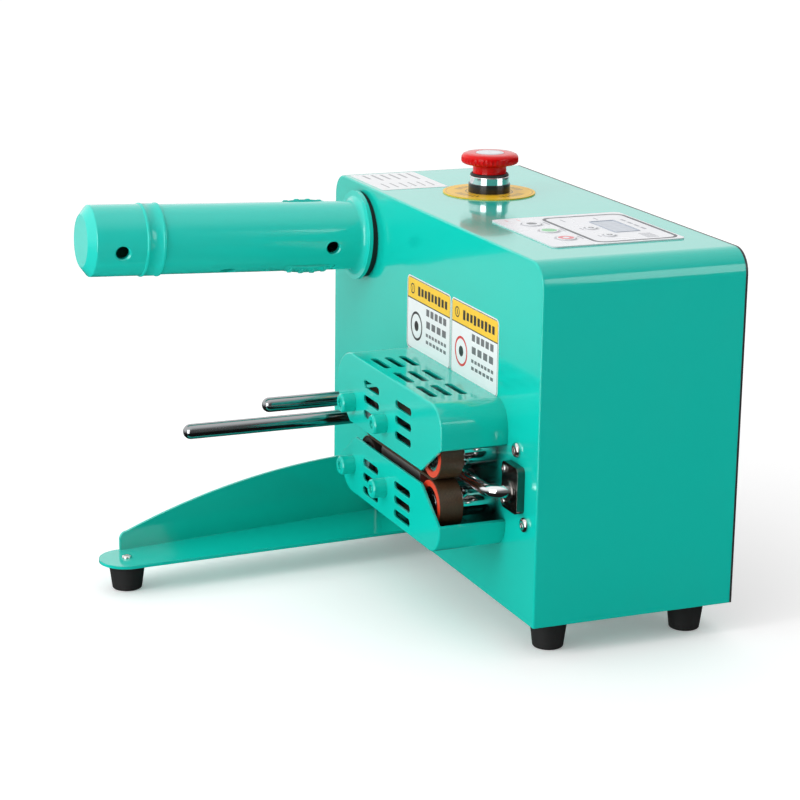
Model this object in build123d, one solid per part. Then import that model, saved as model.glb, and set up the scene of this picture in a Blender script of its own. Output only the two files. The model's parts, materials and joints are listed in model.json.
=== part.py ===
from build123d import *
import math
import os

# Benchtop air-cushion machine: it inflates a folded film and seals it between two driven belts.
# Modelled in a working frame: X across the body from its middle, Y back from the front panel,
# Z up from the body's underside.  Everything is moved to the reference point on export.

# ---- body --------------------------------------------------------------------------------------
body_width = 336.0
body_height = 222.4
shell_depth = 134.5
sheet = 1.5
corner_radius = 15.0
front_edge_radius = 1.2
back_plate = 1.5
fit_gap = 0.3
base_sheet = 2.0
base_rim = 12.0

# ---- feet and leg ------------------------------------------------------------------------------
foot_height = 20.0
foot_top_radius = 12.0
foot_bottom_radius = 9.5
foot_inset = 20.0
leg_sheet = 2.0
leg_tip_radius = 18.0
leg_tip_x = -43.0
leg_tip_y = -191.0
leg_root_near_x = -34.0
leg_root_far_x = -88.0
leg_under_body = 62.0
leg_web_front_height = 12.2
leg_web_root_height = 41.5
leg_web_rise = 9.2
leg_web_corner = 5.0
leg_screw_radius = 3.2

# ---- roll arm ----------------------------------------------------------------------------------
arm_x = -116.0
arm_z = 187.5
arm_tilt = 2.3
arm_radius = 23.3
arm_end_step = 0.4
arm_wall = 4.0
arm_flange_lip = 7.0
arm_flange_back = 4.0
arm_flange_thickness = 2.5
arm_fillet = 4.0
arm_groove_at = 147.5
arm_groove = 1.0
arm_joint_at = 155.7
arm_length = 198.1
arm_cap_chamfer_radial = 6.2
arm_cap_chamfer_axial = 5.0
arm_cap_wall = 3.5
arm_spigot = 7.0
arm_seat_inset = 1.8
arm_seat_bore = 20.0
arm_hole_angle = -11.0
arm_hole_radius = 4.5
arm_hole_places = (29.5, 175.8)
arm_row_angle = -64.0
arm_vent_at = 99.9
arm_vent_radius = 5.0
arm_pin_hole_at = 73.3
arm_pin_hole_radius = 2.2
spindle_radius = 7.5
spindle_end = 143.0
spindle_flange_radius = 22.0
spindle_flange = 6.0
arm_bearing_radius = 16.0
arm_bearing_width = 9.0
arm_bearing_places = (13.0, 132.0)
running_fit = 0.05

# ---- core grips --------------------------------------------------------------------------------
grip_centre = 42.7
grip_length = 35.0
grip_width = 13.4
grip_slack = 0.4
grip_proud = 1.4
grip_foot_lip = 2.0
grip_foot_thickness = 1.9
grip_spring_thickness = 0.8
grip_spring_width = 8.0

# ---- guide rods --------------------------------------------------------------------------------
rod_radius = 5.0
long_rod_x = -54.0
long_rod_z = 77.5
long_rod_reach = 148.5
short_rod_x = -82.0
short_rod_z = 82.6
short_rod_reach = 84.5
rod_nut_radius = 8.0
rod_nut = 5.0

# ---- sealing head ------------------------------------------------------------------------------
nip_z = 79.25
roller_spacing = 32.0
belt_thickness = 0.8
belt_gap = 0.3
belt_slack = 0.3
belt_front = -40.0
belt_width = 15.0
drive_x = 102.0
idler_clearance = 1.0
hub_radius = 11.0
shaft_radius = 4.0
shaft_rear = 22.0
sleeve_radius = 9.5
sleeve_front = -22.0
small_bearing_radius = 8.0
small_bearing_width = 5.0
idler_axle_radius = 4.0
heater_end_gap = 4.0
heater_height = 10.0
heater_gap = 0.4
heater_travel = 1.5
heater_ear = 6.0
heater_ear_inset = 8.0
heater_ear_lift = 2.5
heater_spring_sheet = 0.6
heater_spring_reach = 14.0

# ---- covers ------------------------------------------------------------------------------------
cover_depth = 44.0
cover_sheet = 1.5
cover_right = 125.4
cover_gap_half = 4.2
upper_cover_left = -48.8
upper_cover_rise = 50.2
lower_cover_left = -39.0
lower_cover_rise = 43.0
cover_cut_rise = 22.0
cover_nose_rise = 24.5
cover_tip_right = 96.2
cover_foot_left = 25.0
upper_left_radius = 28.0
lower_left_radius = 20.0
cover_right_radius = 16.0
slot_length = 26.0
slot_height = 5.0
slot_columns = (13.5, 66.5)
upper_slot_rises = (15.8, 25.8, 35.8)
lower_slot_rises = (16.8, 26.3, 35.3)
top_slot_columns = (9.3, 47.5, 84.0)
top_slot_length = 27.0
top_slot_rows = (-36.0, -26.2, -16.4)
stud_places = (-19.0, 36.0)
upper_stud_rise = 18.2
lower_stud_drop = 24.2
stud_radius = 3.0
cap_nut_radius = 6.2
cap_nut_length = 9.0
cap_nut_socket = 3.0

# ---- air nozzle --------------------------------------------------------------------------------
nozzle_radius = 4.0
nozzle_bore = 2.8
nozzle_x = 141.0
nozzle_y = -17.0
nozzle_bend = 10.0
nozzle_tip_x = 34.0
nozzle_cone = 12.0
nozzle_block_left = 129.0
nozzle_block_right = 151.0
nozzle_block_bottom = 66.5
nozzle_block_top = 95.5
nozzle_block_depth = 5.0
nozzle_boss_radius = 7.0
nozzle_boss = 2.0
block_screw_x = 133.0
block_screw_inset = 4.5
block_screw_radius = 2.6
panel_screw_radius = 4.6
panel_screw_places = ((139.7, 104.0), (153.2, 61.0))

# ---- drive -------------------------------------------------------------------------------------
frame_plate = 4.0
frame_left = -100.0
frame_right = 160.0
frame_bottom = 20.0
frame_top = 122.0
motor_plate_y = 20.0
motor_plate = 3.0
motor_plate_left = 50.0
shaft_gear_teeth = 32
pinion_teeth = 16
gear_front = 8.0
gear_width = 8.0
gear_backlash = 0.16
gearbox_radius = 18.5
gearbox_length = 26.0
motor_radius = 17.0
motor_length = 52.0
motor_shaft_radius = 3.0

# ---- emergency stop ----------------------------------------------------------------------------
estop_x = -60.0
estop_y = 69.0
legend_radius = 31.0
legend_thickness = 0.8
bezel_radius = 14.0
bezel_height = 5.8
collar_radius = 13.2
collar_height = 5.2
estop_bore = 12.0
estop_barrel_radius = 11.0
estop_barrel_depth = 9.0
estop_neck_radius = 11.5
estop_neck_top = 19.3
estop_head_radius = 19.2
estop_head_height = 8.0
estop_stem_radius = 3.0
estop_stem_drop = 20.0
estop_block = 30.0
estop_block_height = 28.0
estop_nut_radius = 16.0
estop_nut = 4.0

# ---- key panel ---------------------------------------------------------------------------------
pad_left = 34.5
pad_right = 125.5
pad_front = 26.8
pad_back = 116.8
pad_thickness = 0.8
pad_corner = 4.0
key_slack = 0.4
key_proud = 0.5
key_travel = 0.4
plunger_radius = 2.4
plunger_length = 5.0
plunger_slack = 0.8
large_key_radius = 6.0
small_key_radius = 3.6
key_places = {
    "mode_key": (56.0, 45.5, large_key_radius),
    "start_key": (79.0, 46.5, large_key_radius),
    "stop_key": (103.5, 46.0, large_key_radius),
    "less_key": (79.5, 75.0, small_key_radius),
    "more_key": (103.5, 75.6, small_key_radius),
}
board_drop = 11.0
board_sheet = 1.6

# ---- electrics and air -------------------------------------------------------------------------
inlet_x = 110.0
inlet_z = 60.0
inlet_width = 30.0
inlet_height = 62.0
inlet_flange = 3.0
inlet_depth = 24.0
rocker_width = 13.0
rocker_height = 19.0
rocker_rise = 17.0
rocker_slack = 0.5
rocker_radius = 13.0
rocker_angle = 9.0
rocker_trim = 1.7
supply_gap = 2.0
supply_width = 62.0
supply_length = 96.0
supply_height = 38.0
pump_x = -20.0
pump_y = 90.0
pump_radius = 26.0
pump_length = 70.0
hose_radius = 4.0
hose_bore = 2.4
vent_columns = 9
vent_pitch = 11.0
vent_length = 34.0
vent_width = 4.0
vent_z = 165.0
back_screw_radius = 3.4
back_screw_inset = 12.0

# ---- values worked out from the sizes above ----------------------------------------------------
half_width = body_width / 2
rear_face = shell_depth + back_plate
leg_reach = leg_tip_radius - leg_tip_y
overall_rear = rear_face + inlet_flange
y_to_row = (leg_reach - overall_rear) / 2
upper_z = nip_z + roller_spacing / 2
lower_z = nip_z - roller_spacing / 2
belt_outer = roller_spacing / 2 - belt_gap / 2
belt_inner = belt_outer - belt_thickness
tyre_radius = belt_inner - belt_slack
belt_back = belt_front + belt_width
upper_stud_z = nip_z + upper_stud_rise
lower_stud_z = nip_z - lower_stud_drop
idler_x = stud_places[0] + stud_radius + idler_clearance + belt_outer
heater_left = idler_x + tyre_radius + heater_end_gap
heater_right = drive_x - tyre_radius - heater_end_gap
heater_ear_places = (heater_left + heater_ear_inset, heater_right - heater_ear_inset)
gear_module = roller_spacing / shaft_gear_teeth
motor_x = drive_x - gear_module * (shaft_gear_teeth + pinion_teeth) / 2
frame_back = sheet + frame_plate
arm_end_radius = arm_radius + arm_end_step
arm_flange_radius = arm_radius + arm_flange_lip
arm_seat_radius = arm_flange_radius - arm_seat_inset
supply_left = foot_inset + leg_screw_radius + supply_gap - half_width
to_row = Pos(0, y_to_row, foot_height)
arm_frame = Pos(arm_x, 0, arm_z) * Rot(-arm_tilt, 0, 0)


# ---- small helpers -----------------------------------------------------------------------------
def block(x0, x1, y0, y1, z0, z1):
    """Box between two corners."""
    middle = Pos((x0 + x1) / 2, (y0 + y1) / 2, (z0 + z1) / 2)
    return middle * Box(x1 - x0, y1 - y0, z1 - z0)


def bar_y(x, z, radius, y0, y1):
    """Round bar along Y."""
    return Pos(x, (y0 + y1) / 2, z) * Rot(90, 0, 0) * Cylinder(radius, y1 - y0)


def bar_z(x, y, radius, z0, z1):
    """Round bar along Z."""
    return Pos(x, y, (z0 + z1) / 2) * Cylinder(radius, z1 - z0)


def front_plate(outline, y0, y1):
    """A face drawn in X and Z, given its thickness from y0 back to y1."""
    return extrude(Plane.XZ.offset(-y1) * outline, y1 - y0)


def group(shapes):
    """Several separate solids kept as one node."""
    solids = []
    for shape in shapes:
        solids.extend(shape.solids())
    return Compound(children=solids)


def dome_screw(radius, length, shank):
    """Domed screw head standing on +Z with its shank below."""
    head_height = radius * 0.55
    head = Cylinder(radius, head_height, align=(Align.CENTER, Align.CENTER, Align.MIN))
    head = fillet(head.edges().group_by(Axis.Z)[-1], head_height * 0.75)
    socket = Pos(0, 0, head_height) * extrude(RegularPolygon(radius * 0.42, 6), -head_height * 0.5)
    body = Cylinder(shank, length, align=(Align.CENTER, Align.CENTER, Align.MAX))
    return head - socket + body


def save(name, shape):
    """Write one node in the row frame."""
    export_step(to_row * shape, f"parts/{name}.step")


# ---- holes through the front panel and the drive frame -----------------------------------------
def front_holes(depth):
    """Everything that passes through the front panel and the frame behind it."""
    holes = []
    for z in (upper_z, lower_z):
        holes.append(bar_y(drive_x, z, sleeve_radius, -1, depth))
        holes.append(bar_y(idler_x, z, idler_axle_radius, -1, depth))
    for x in stud_places:
        holes.append(bar_y(x, upper_stud_z, stud_radius, -1, depth))
        holes.append(bar_y(x, lower_stud_z, stud_radius, -1, depth))
    holes.append(bar_y(long_rod_x, long_rod_z, rod_radius, -1, depth))
    holes.append(bar_y(short_rod_x, short_rod_z, rod_radius, -1, depth))
    holes.append(bar_y(nozzle_x, nip_z, nozzle_radius, -1, depth))
    for x, z in panel_screw_places:
        holes.append(bar_y(x, z, panel_screw_radius / 2, -1, depth))
    for z in (nozzle_block_bottom + block_screw_inset, nozzle_block_top - block_screw_inset):
        holes.append(bar_y(block_screw_x, z, block_screw_radius / 2, -1, depth))
    side = heater_ear / 2
    for x in heater_ear_places:
        low = nip_z + heater_ear_lift + heater_ear / 2 - fit_gap
        high = low + heater_ear + heater_travel + 2 * fit_gap
        holes.append(block(x - side - fit_gap, x + side + fit_gap, -1, depth, low, high))
        top = nip_z - heater_ear_lift - heater_ear / 2
        holes.append(block(x - side, x + side, -1, depth, top - heater_ear, top))
    return holes


# ---- body --------------------------------------------------------------------------------------
def body_outline(inset):
    """Body section seen from the front: square feet, rounded shoulders."""
    half = half_width - inset
    top = body_height - inset
    radius = corner_radius - inset
    with BuildSketch() as sketch:
        with BuildLine():
            Line((-half, inset), (-half, top - radius))
            RadiusArc((-half, top - radius), (-half + radius, top), radius)
            Line((-half + radius, top), (half - radius, top))
            RadiusArc((half - radius, top), (half, top - radius), radius)
            Line((half, top - radius), (half, inset))
            Line((half, inset), (-half, inset))
        make_face()
    return sketch.sketch


def housing_shell():
    """Front, top and both sides in one folded and welded skin, open below and behind."""
    outer = front_plate(body_outline(0), 0, shell_depth)
    front_rim = outer.faces().sort_by(Axis.Y)[0].edges().filter_by_position(Axis.Z, 1, body_height)
    outer = fillet(front_rim, front_edge_radius)
    inner = front_plate(body_outline(sheet), sheet, shell_depth + 1)
    under = block(-half_width + sheet, half_width - sheet, sheet, shell_depth + 1, -1, corner_radius)
    shell = outer - inner - under
    shell -= front_holes(sheet + 1)
    shell -= bar_y(arm_x, arm_z, spindle_radius + 1.0, -1, sheet + 1)
    shell -= bar_z(estop_x, estop_y, estop_barrel_radius, body_height - sheet - 1, body_height + 1)
    for x, y, radius in key_places.values():
        shell -= bar_z(x, y, plunger_radius + plunger_slack, body_height - sheet - 1, body_height + 1)
    return shell


def back_panel():
    """Flat dark rear plate with air vents and the opening for the power inlet."""
    plate = front_plate(body_outline(0), shell_depth, rear_face)
    first = -vent_pitch * (vent_columns - 1) / 2
    for column in range(vent_columns):
        x = first + column * vent_pitch
        slot = Pos(x, vent_z) * Rot(0, 0, 90) * SlotOverall(vent_length, vent_width)
        plate -= front_plate(slot, shell_depth - 1, rear_face + 1)
    half_w = inlet_width / 2 - 3
    half_h = inlet_height / 2 - 3
    plate -= block(inlet_x - half_w, inlet_x + half_w, shell_depth - 1, rear_face + 1,
                   inlet_z - half_h, inlet_z + half_h)
    for x, z in back_screw_places():
        plate -= bar_y(x, z, back_screw_radius / 2, shell_depth - 1, rear_face + 1)
    return plate


def back_screw_places():
    """Screw positions round the edge of the rear plate."""
    side = half_width - back_screw_inset
    high = body_height - back_screw_inset - 3
    return [(x, z) for x in (-side, 0, side) for z in (back_screw_inset, high)]


def base_plate():
    """Shallow tray that closes the underside and carries the feet and the leg."""
    side = half_width - sheet - fit_gap
    front = sheet + fit_gap
    rear = shell_depth - fit_gap
    tray = block(-side, side, front, rear, 0, base_rim)
    tray -= block(-side + base_sheet, side - base_sheet, front + base_sheet, rear - base_sheet,
                  base_sheet, base_rim + 1)
    for x, y in foot_places() + leg_screw_places():
        tray -= bar_z(x, y, leg_screw_radius / 2, -1, base_sheet + 1)
    return tray


def foot_places():
    """The four feet under the body."""
    side = half_width - foot_inset
    return [(x, y) for x in (-side, side) for y in (foot_inset, shell_depth - foot_inset)]


def leg_screw_places():
    """Screws that hold the leg's flange up against the tray."""
    middle = (leg_root_near_x + leg_root_far_x) / 2
    return [(middle - 14, 20), (middle + 14, 20), (middle, leg_under_body - 14)]


def rubber_foot(x, y, top):
    """Tapered rubber foot from the floor up to the plate that it carries."""
    height = top + foot_height
    cone = Pos(0, 0, height / 2) * Cone(foot_bottom_radius, foot_top_radius, height)
    cone = fillet(cone.edges().group_by(Axis.Z)[0], 1.2)
    recess = bar_z(0, 0, foot_bottom_radius * 0.55, -1, height * 0.45)
    bore = bar_z(0, 0, leg_screw_radius / 2, -1, height + 1)
    return Pos(x, y, -foot_height) * (cone - recess - bore)


def rubber_feet():
    """Four feet under the body and a shorter one under the tip of the leg."""
    feet = [rubber_foot(x, y, 0) for x, y in foot_places()]
    feet.append(rubber_foot(leg_tip_x, leg_tip_y, -leg_sheet))
    return group(feet)


def base_screws():
    """Domed screws on top of the tray and of the leg's tip."""
    screws = []
    reach = foot_height * 0.6
    for x, y in foot_places():
        screws.append(Pos(x, y, base_sheet) * dome_screw(leg_screw_radius, reach, leg_screw_radius / 2))
    for x, y in leg_screw_places():
        length = base_sheet + leg_sheet
        screws.append(Pos(x, y, base_sheet) * dome_screw(leg_screw_radius, length, leg_screw_radius / 2))
    tip_screw = dome_screw(leg_screw_radius, reach, leg_screw_radius / 2)
    screws.append(Pos(leg_tip_x, leg_tip_y, 0) * tip_screw)
    return group(screws)


def support_leg():
    """Folded sheet leg: a tapering flange with a rounded tip and a curved upright web."""
    tip_far = leg_tip_x - leg_tip_radius
    tip_near = leg_tip_x + leg_tip_radius
    with BuildSketch() as flange:
        with BuildLine():
            tip_front = leg_tip_y - leg_tip_radius
            ThreePointArc((tip_near, leg_tip_y), (leg_tip_x, tip_front), (tip_far, leg_tip_y))
            Line((tip_far, leg_tip_y), (leg_root_far_x, 0))
            Line((leg_root_far_x, 0), (leg_root_far_x, leg_under_body))
            Line((leg_root_far_x, leg_under_body), (leg_root_near_x, leg_under_body))
            Line((leg_root_near_x, leg_under_body), (leg_root_near_x, 0))
            Line((leg_root_near_x, 0), (tip_near, leg_tip_y))
        make_face()
    leg = Pos(0, 0, -leg_sheet) * extrude(flange.sketch, leg_sheet)
    run = Vector(leg_root_far_x - tip_far, -leg_tip_y, 0)
    length = run.length * (1 + (leg_sheet / 2) / leg_tip_y)
    face = Plane(origin=(tip_far, leg_tip_y, -leg_sheet), x_dir=run, z_dir=run.cross(Vector(0, 0, 1)))
    front = leg_web_front_height + leg_sheet
    root = leg_web_root_height + leg_sheet
    bow = ((front + root) / 2 + leg_web_rise)
    with BuildSketch() as web:
        with BuildLine():
            Line((0, 0), (0, front - leg_web_corner))
            RadiusArc((0, front - leg_web_corner), (leg_web_corner, front), leg_web_corner)
            ThreePointArc((leg_web_corner, front), ((length + leg_web_corner) / 2, bow), (length, root))
            Line((length, root), (length, 0))
            Line((length, 0), (0, 0))
        make_face()
    leg += extrude(face * web.sketch, leg_sheet)
    for x, y in leg_screw_places() + [(leg_tip_x, leg_tip_y)]:
        leg -= bar_z(x, y, leg_screw_radius / 2, -leg_sheet - 1, 1)
    return leg


# ---- roll arm, built along its own tilted axis -------------------------------------------------
def arm_profile(points):
    """Solid of revolution about the arm's axis from (distance out, radius) points."""
    with BuildSketch(Plane.XY) as sketch:
        with BuildLine():
            Polyline([(radius, -out) for out, radius in points], close=True)
        make_face()
    return revolve(sketch.sketch, Axis.Y)


def around_arm(angle):
    """Turn about the arm's axis: 0 faces +X, negative angles face down."""
    return Rot(0, -angle, 0)


def radial_hole(out, angle, radius, reach):
    """Drilling straight in towards the arm's axis, with its rim broken."""
    drill = Pos(reach / 2, -out, 0) * Rot(0, 90, 0) * Cylinder(radius, reach)
    rim = Pos(arm_radius, -out, 0) * Rot(0, 90, 0) * Cone(radius, radius + 1.6, 1.6)
    return around_arm(angle) * (drill + rim)


def arm_tube():
    """Rotating tube that carries the film roll, with its flange and end collar."""
    bore = arm_radius - arm_wall
    seat = arm_bearing_radius + running_fit
    face = arm_flange_back + arm_flange_thickness
    tube = arm_profile([
        (arm_flange_back, seat),
        (arm_flange_back, arm_flange_radius),
        (face, arm_flange_radius),
        (face, arm_radius),
        (arm_groove_at - arm_groove, arm_radius),
        (arm_groove_at - arm_groove / 2, arm_radius - 0.8),
        (arm_groove_at, arm_end_radius),
        (arm_joint_at, arm_end_radius),
        (arm_joint_at, bore),
        (arm_bearing_places[1] + arm_bearing_width, bore),
        (arm_bearing_places[1] + arm_bearing_width, seat),
        (arm_bearing_places[1], seat),
        (arm_bearing_places[1], bore),
        (arm_bearing_places[0] + arm_bearing_width, bore),
        (arm_bearing_places[0] + arm_bearing_width, seat),
    ])
    root_edge = tube.edges().filter_by(GeomType.CIRCLE).filter_by(
        lambda e: abs(e.radius - arm_radius) < 0.01 and abs(e.center().Y + face) < 0.01)
    tube = fillet(root_edge, arm_fillet)
    tube -= radial_hole(arm_hole_places[0], arm_hole_angle, arm_hole_radius, arm_radius + 5)
    tube -= radial_hole(arm_vent_at, arm_row_angle, arm_vent_radius, arm_radius + 5)
    tube -= radial_hole(arm_pin_hole_at, arm_row_angle, arm_pin_hole_radius, arm_radius + 5)
    half_long = grip_length / 2 + grip_slack
    half_wide = grip_width / 2 + grip_slack
    for angle in (arm_row_angle, arm_row_angle + 180):
        window = block(arm_radius / 2, arm_radius + 5, -grip_centre - half_long, -grip_centre + half_long,
                       -half_wide, half_wide)
        tube -= around_arm(angle) * window
    return arm_frame * tube


def arm_end_cap():
    """Hollow end piece with a conical nose and a cross hole for a locking pin."""
    bore = arm_radius - arm_wall
    nose = arm_end_radius - arm_cap_chamfer_radial
    inner = arm_end_radius - arm_cap_wall
    cap = arm_profile([
        (arm_joint_at - arm_spigot, 0),
        (arm_joint_at - arm_spigot, bore),
        (arm_joint_at, bore),
        (arm_joint_at, arm_end_radius),
        (arm_length - arm_cap_chamfer_axial, arm_end_radius),
        (arm_length, nose),
        (arm_length, 0),
    ])
    hollow = arm_profile([
        (arm_joint_at - arm_spigot - 1, 0),
        (arm_joint_at - arm_spigot - 1, bore - arm_cap_wall),
        (arm_joint_at + 1, bore - arm_cap_wall),
        (arm_joint_at + 4, inner),
        (arm_length - arm_cap_chamfer_axial - 1, inner),
        (arm_length - arm_cap_wall, nose - arm_cap_wall / 2),
        (arm_length - arm_cap_wall, 0),
    ])
    cap = cap - hollow - radial_hole(arm_hole_places[1], arm_hole_angle, arm_hole_radius, arm_radius + 5)
    nose_edges = cap.edges().filter_by(GeomType.CIRCLE).filter_by(
        lambda e: e.center().Y < -(arm_length - arm_cap_chamfer_axial) + 0.01 and e.radius > nose - 0.01)
    return arm_frame * fillet(nose_edges, 1.2)


def arm_spindle():
    """Fixed steel spindle: its round foot is clamped behind the front panel."""
    tilted = arm_frame * bar_y(0, 0, spindle_radius, -spindle_end, spindle_flange)
    foot = bar_y(arm_x, arm_z, spindle_flange_radius, sheet, sheet + spindle_flange)
    return tilted + foot


def arm_seat_ring():
    """Black friction ring between the panel and the arm's flange, wedge-shaped for the tilt."""
    ring = arm_frame * (bar_y(0, 0, arm_seat_radius, -arm_flange_back + fit_gap, 4)
                        - bar_y(0, 0, arm_seat_bore, -arm_flange_back - 1, 5))
    return ring - block(arm_x - 40, arm_x + 40, 0, 12, arm_z - 40, arm_z + 40)


def bearing(bore, outer, width):
    """Ball bearing as one ring with a shallow groove in each face."""
    ring = Cylinder(outer, width) - Cylinder(bore, width + 2)
    middle = (bore + outer) / 2
    groove = Cylinder(middle + 1.2, 1) - Cylinder(middle - 1.2, 2)
    return ring - Pos(0, 0, width / 2) * groove - Pos(0, 0, -width / 2) * groove


def ball_bearings():
    """Two bearings on the arm's spindle and two in each drive sleeve."""
    rings = []
    large = Rot(90, 0, 0) * bearing(spindle_radius, arm_bearing_radius, arm_bearing_width)
    for place in arm_bearing_places:
        rings.append(arm_frame * Pos(0, -place - arm_bearing_width / 2, 0) * large)
    small = Rot(90, 0, 0) * bearing(shaft_radius + running_fit, small_bearing_radius, small_bearing_width)
    for z in (upper_z, lower_z):
        for y in (sleeve_front + small_bearing_width / 2, frame_back - small_bearing_width / 2):
            rings.append(Pos(drive_x, y, z) * small)
    return group(rings)


def core_grip(angle):
    """Sprung pad with a crowned top that stands out of the tube and holds the roll's core."""
    half_long = grip_length / 2
    half_wide = grip_width / 2
    bore = arm_radius - arm_wall
    foot_outer = bore - fit_gap
    foot_inner = foot_outer - grip_foot_thickness
    pad = block(foot_inner, arm_radius + 5, -grip_centre - half_long, -grip_centre + half_long,
                -half_wide, half_wide)
    with BuildSketch(Plane.XY) as crown:
        with BuildLine():
            Line((0, -grip_centre - half_long), (arm_radius - 0.4, -grip_centre - half_long))
            ThreePointArc((arm_radius - 0.4, -grip_centre - half_long),
                          (arm_radius + grip_proud, -grip_centre),
                          (arm_radius - 0.4, -grip_centre + half_long))
            Line((arm_radius - 0.4, -grip_centre + half_long), (0, -grip_centre + half_long))
            Line((0, -grip_centre + half_long), (0, -grip_centre - half_long))
        make_face()
    pad = pad & revolve(crown.sketch, Axis.Y)
    pad -= bar_y(0, 0, foot_inner + 0.6, -grip_centre - half_long - 1, -grip_centre + half_long + 1)
    foot_long = half_long + grip_foot_lip
    foot_wide = half_wide + grip_foot_lip
    foot = block(foot_inner / 2, arm_radius, -grip_centre - foot_long, -grip_centre + foot_long,
                 -foot_wide, foot_wide)
    foot = foot & bar_y(0, 0, foot_outer, -arm_joint_at, 0)
    foot -= bar_y(0, 0, foot_inner, -arm_joint_at - 1, 1)
    return arm_frame * around_arm(angle) * (pad + foot)


def grip_spring():
    """Springy steel band inside the tube that pushes both grips outwards."""
    foot_inner = arm_radius - arm_wall - fit_gap - grip_foot_thickness
    outer = foot_inner - 0.1
    half = grip_spring_width / 2
    band = bar_y(0, 0, outer, -grip_centre - half, -grip_centre + half)
    band -= bar_y(0, 0, outer - grip_spring_thickness, -grip_centre - half - 1, -grip_centre + half + 1)
    return arm_frame * band


# ---- guide rods --------------------------------------------------------------------------------
def guide_rod(x, z, reach):
    """Polished rod with a round nose, a nut behind the panel."""
    rod = bar_y(x, z, rod_radius, -reach + rod_radius, frame_back)
    rod += Pos(x, -reach + rod_radius, z) * Sphere(rod_radius)
    nut = Pos(x, frame_back, z) * Rot(-90, 0, 0) * extrude(RegularPolygon(rod_nut_radius, 6), rod_nut)
    return rod + nut


# ---- drive frame, shafts and rollers -----------------------------------------------------------
def drive_frame():
    """Steel plate behind the panel, folded back into a small plate that carries the motor."""
    frame = block(frame_left, frame_right, sheet, frame_back, frame_bottom, frame_top)
    bridge_z0 = lower_z - gearbox_radius - 2
    bridge_z1 = lower_z + gearbox_radius + 2
    frame += block(motor_plate_left, motor_plate_left + motor_plate, frame_back, motor_plate_y,
                   bridge_z0, bridge_z1)
    plate_right = motor_x + gearbox_radius - 8
    frame += block(motor_plate_left, plate_right, motor_plate_y, motor_plate_y + motor_plate,
                   bridge_z0, bridge_z1)
    frame -= front_holes(frame_back + 1)
    frame -= bar_y(motor_x, lower_z, motor_shaft_radius + fit_gap, motor_plate_y - 1,
                   motor_plate_y + motor_plate + 1)
    return frame


def drive_sleeves():
    """Bright tubes through the panel that hold the drive shafts' bearings."""
    sleeves = []
    for z in (upper_z, lower_z):
        tube = bar_y(drive_x, z, sleeve_radius, sleeve_front, frame_back)
        front_seat = sleeve_front + small_bearing_width
        tube -= bar_y(drive_x, z, small_bearing_radius, sleeve_front - 1, front_seat)
        tube -= bar_y(drive_x, z, small_bearing_radius, frame_back - small_bearing_width, frame_back + 1)
        tube -= bar_y(drive_x, z, shaft_radius + 1.5, sleeve_front, frame_back)
        sleeves.append(tube)
    return group(sleeves)


def drive_shaft(z):
    """Steel shaft with an aluminium-coloured hub inside its roller."""
    shaft = bar_y(drive_x, z, shaft_radius, belt_front + 1.5, shaft_rear)
    hub = bar_y(drive_x, z, hub_radius, belt_front + 0.8, belt_back)
    hub -= bar_y(drive_x, z, hub_radius - 2.5, belt_front, belt_front + 3)
    hub += bar_y(drive_x, z, shaft_radius + 2, belt_front + 1.2, belt_back)
    return shaft + hub


def drive_roller(z):
    """Silicone tyre that grips the belt."""
    tyre = bar_y(drive_x, z, tyre_radius, belt_front, belt_back)
    return tyre - bar_y(drive_x, z, hub_radius, belt_front - 1, belt_back + 1)


def idler_roller(z):
    """Free roller at the other end of the belt, turning on its fixed axle."""
    roller = bar_y(idler_x, z, tyre_radius, belt_front, belt_back)
    groove = bar_y(idler_x, z, tyre_radius - 3, belt_front - 1, belt_front + 2)
    groove -= bar_y(idler_x, z, idler_axle_radius + 3, belt_front - 2, belt_front + 3)
    bore = bar_y(idler_x, z, idler_axle_radius + running_fit, belt_front - 1, belt_back + 1)
    return roller - groove - bore


def idler_axles():
    """Fixed axles of the free rollers, with a head in front and a spacer behind."""
    axles = []
    for z in (upper_z, lower_z):
        axle = bar_y(idler_x, z, idler_axle_radius, belt_front - 1, frame_back)
        axle += bar_y(idler_x, z, idler_axle_radius + 2, belt_front - 2.3, belt_front - fit_gap)
        axle += bar_y(idler_x, z, idler_axle_radius + 3, belt_back + fit_gap, 0)
        axles.append(axle)
    return group(axles)


def belt(z):
    """Smooth closed belt round both rollers."""
    span = drive_x - idler_x
    middle = Pos((drive_x + idler_x) / 2, z)
    outer = middle * SlotCenterToCenter(span, 2 * belt_outer)
    inner = middle * SlotCenterToCenter(span, 2 * belt_inner)
    return front_plate(outer, belt_front, belt_back) - front_plate(inner, belt_front - 1, belt_back + 1)


def heater_block(side):
    """Heated bar that presses its belt at the nip, with two ears reaching back to the panel."""
    low = belt_gap / 2 + belt_thickness + heater_gap
    high = low + heater_height
    z0, z1 = sorted((nip_z + side * low, nip_z + side * high))
    bar = block(heater_left, heater_right, belt_front + 1, belt_back - 1, z0, z1)
    bar = chamfer(bar.edges().filter_by(Axis.Y), 1.5)
    ear_low = heater_ear_lift + heater_ear / 2
    e0, e1 = sorted((nip_z + side * ear_low, nip_z + side * (ear_low + heater_ear)))
    for x in heater_ear_places:
        bar += block(x - heater_ear / 2, x + heater_ear / 2, belt_back - 2, frame_back, e0, e1)
    return bar


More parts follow.
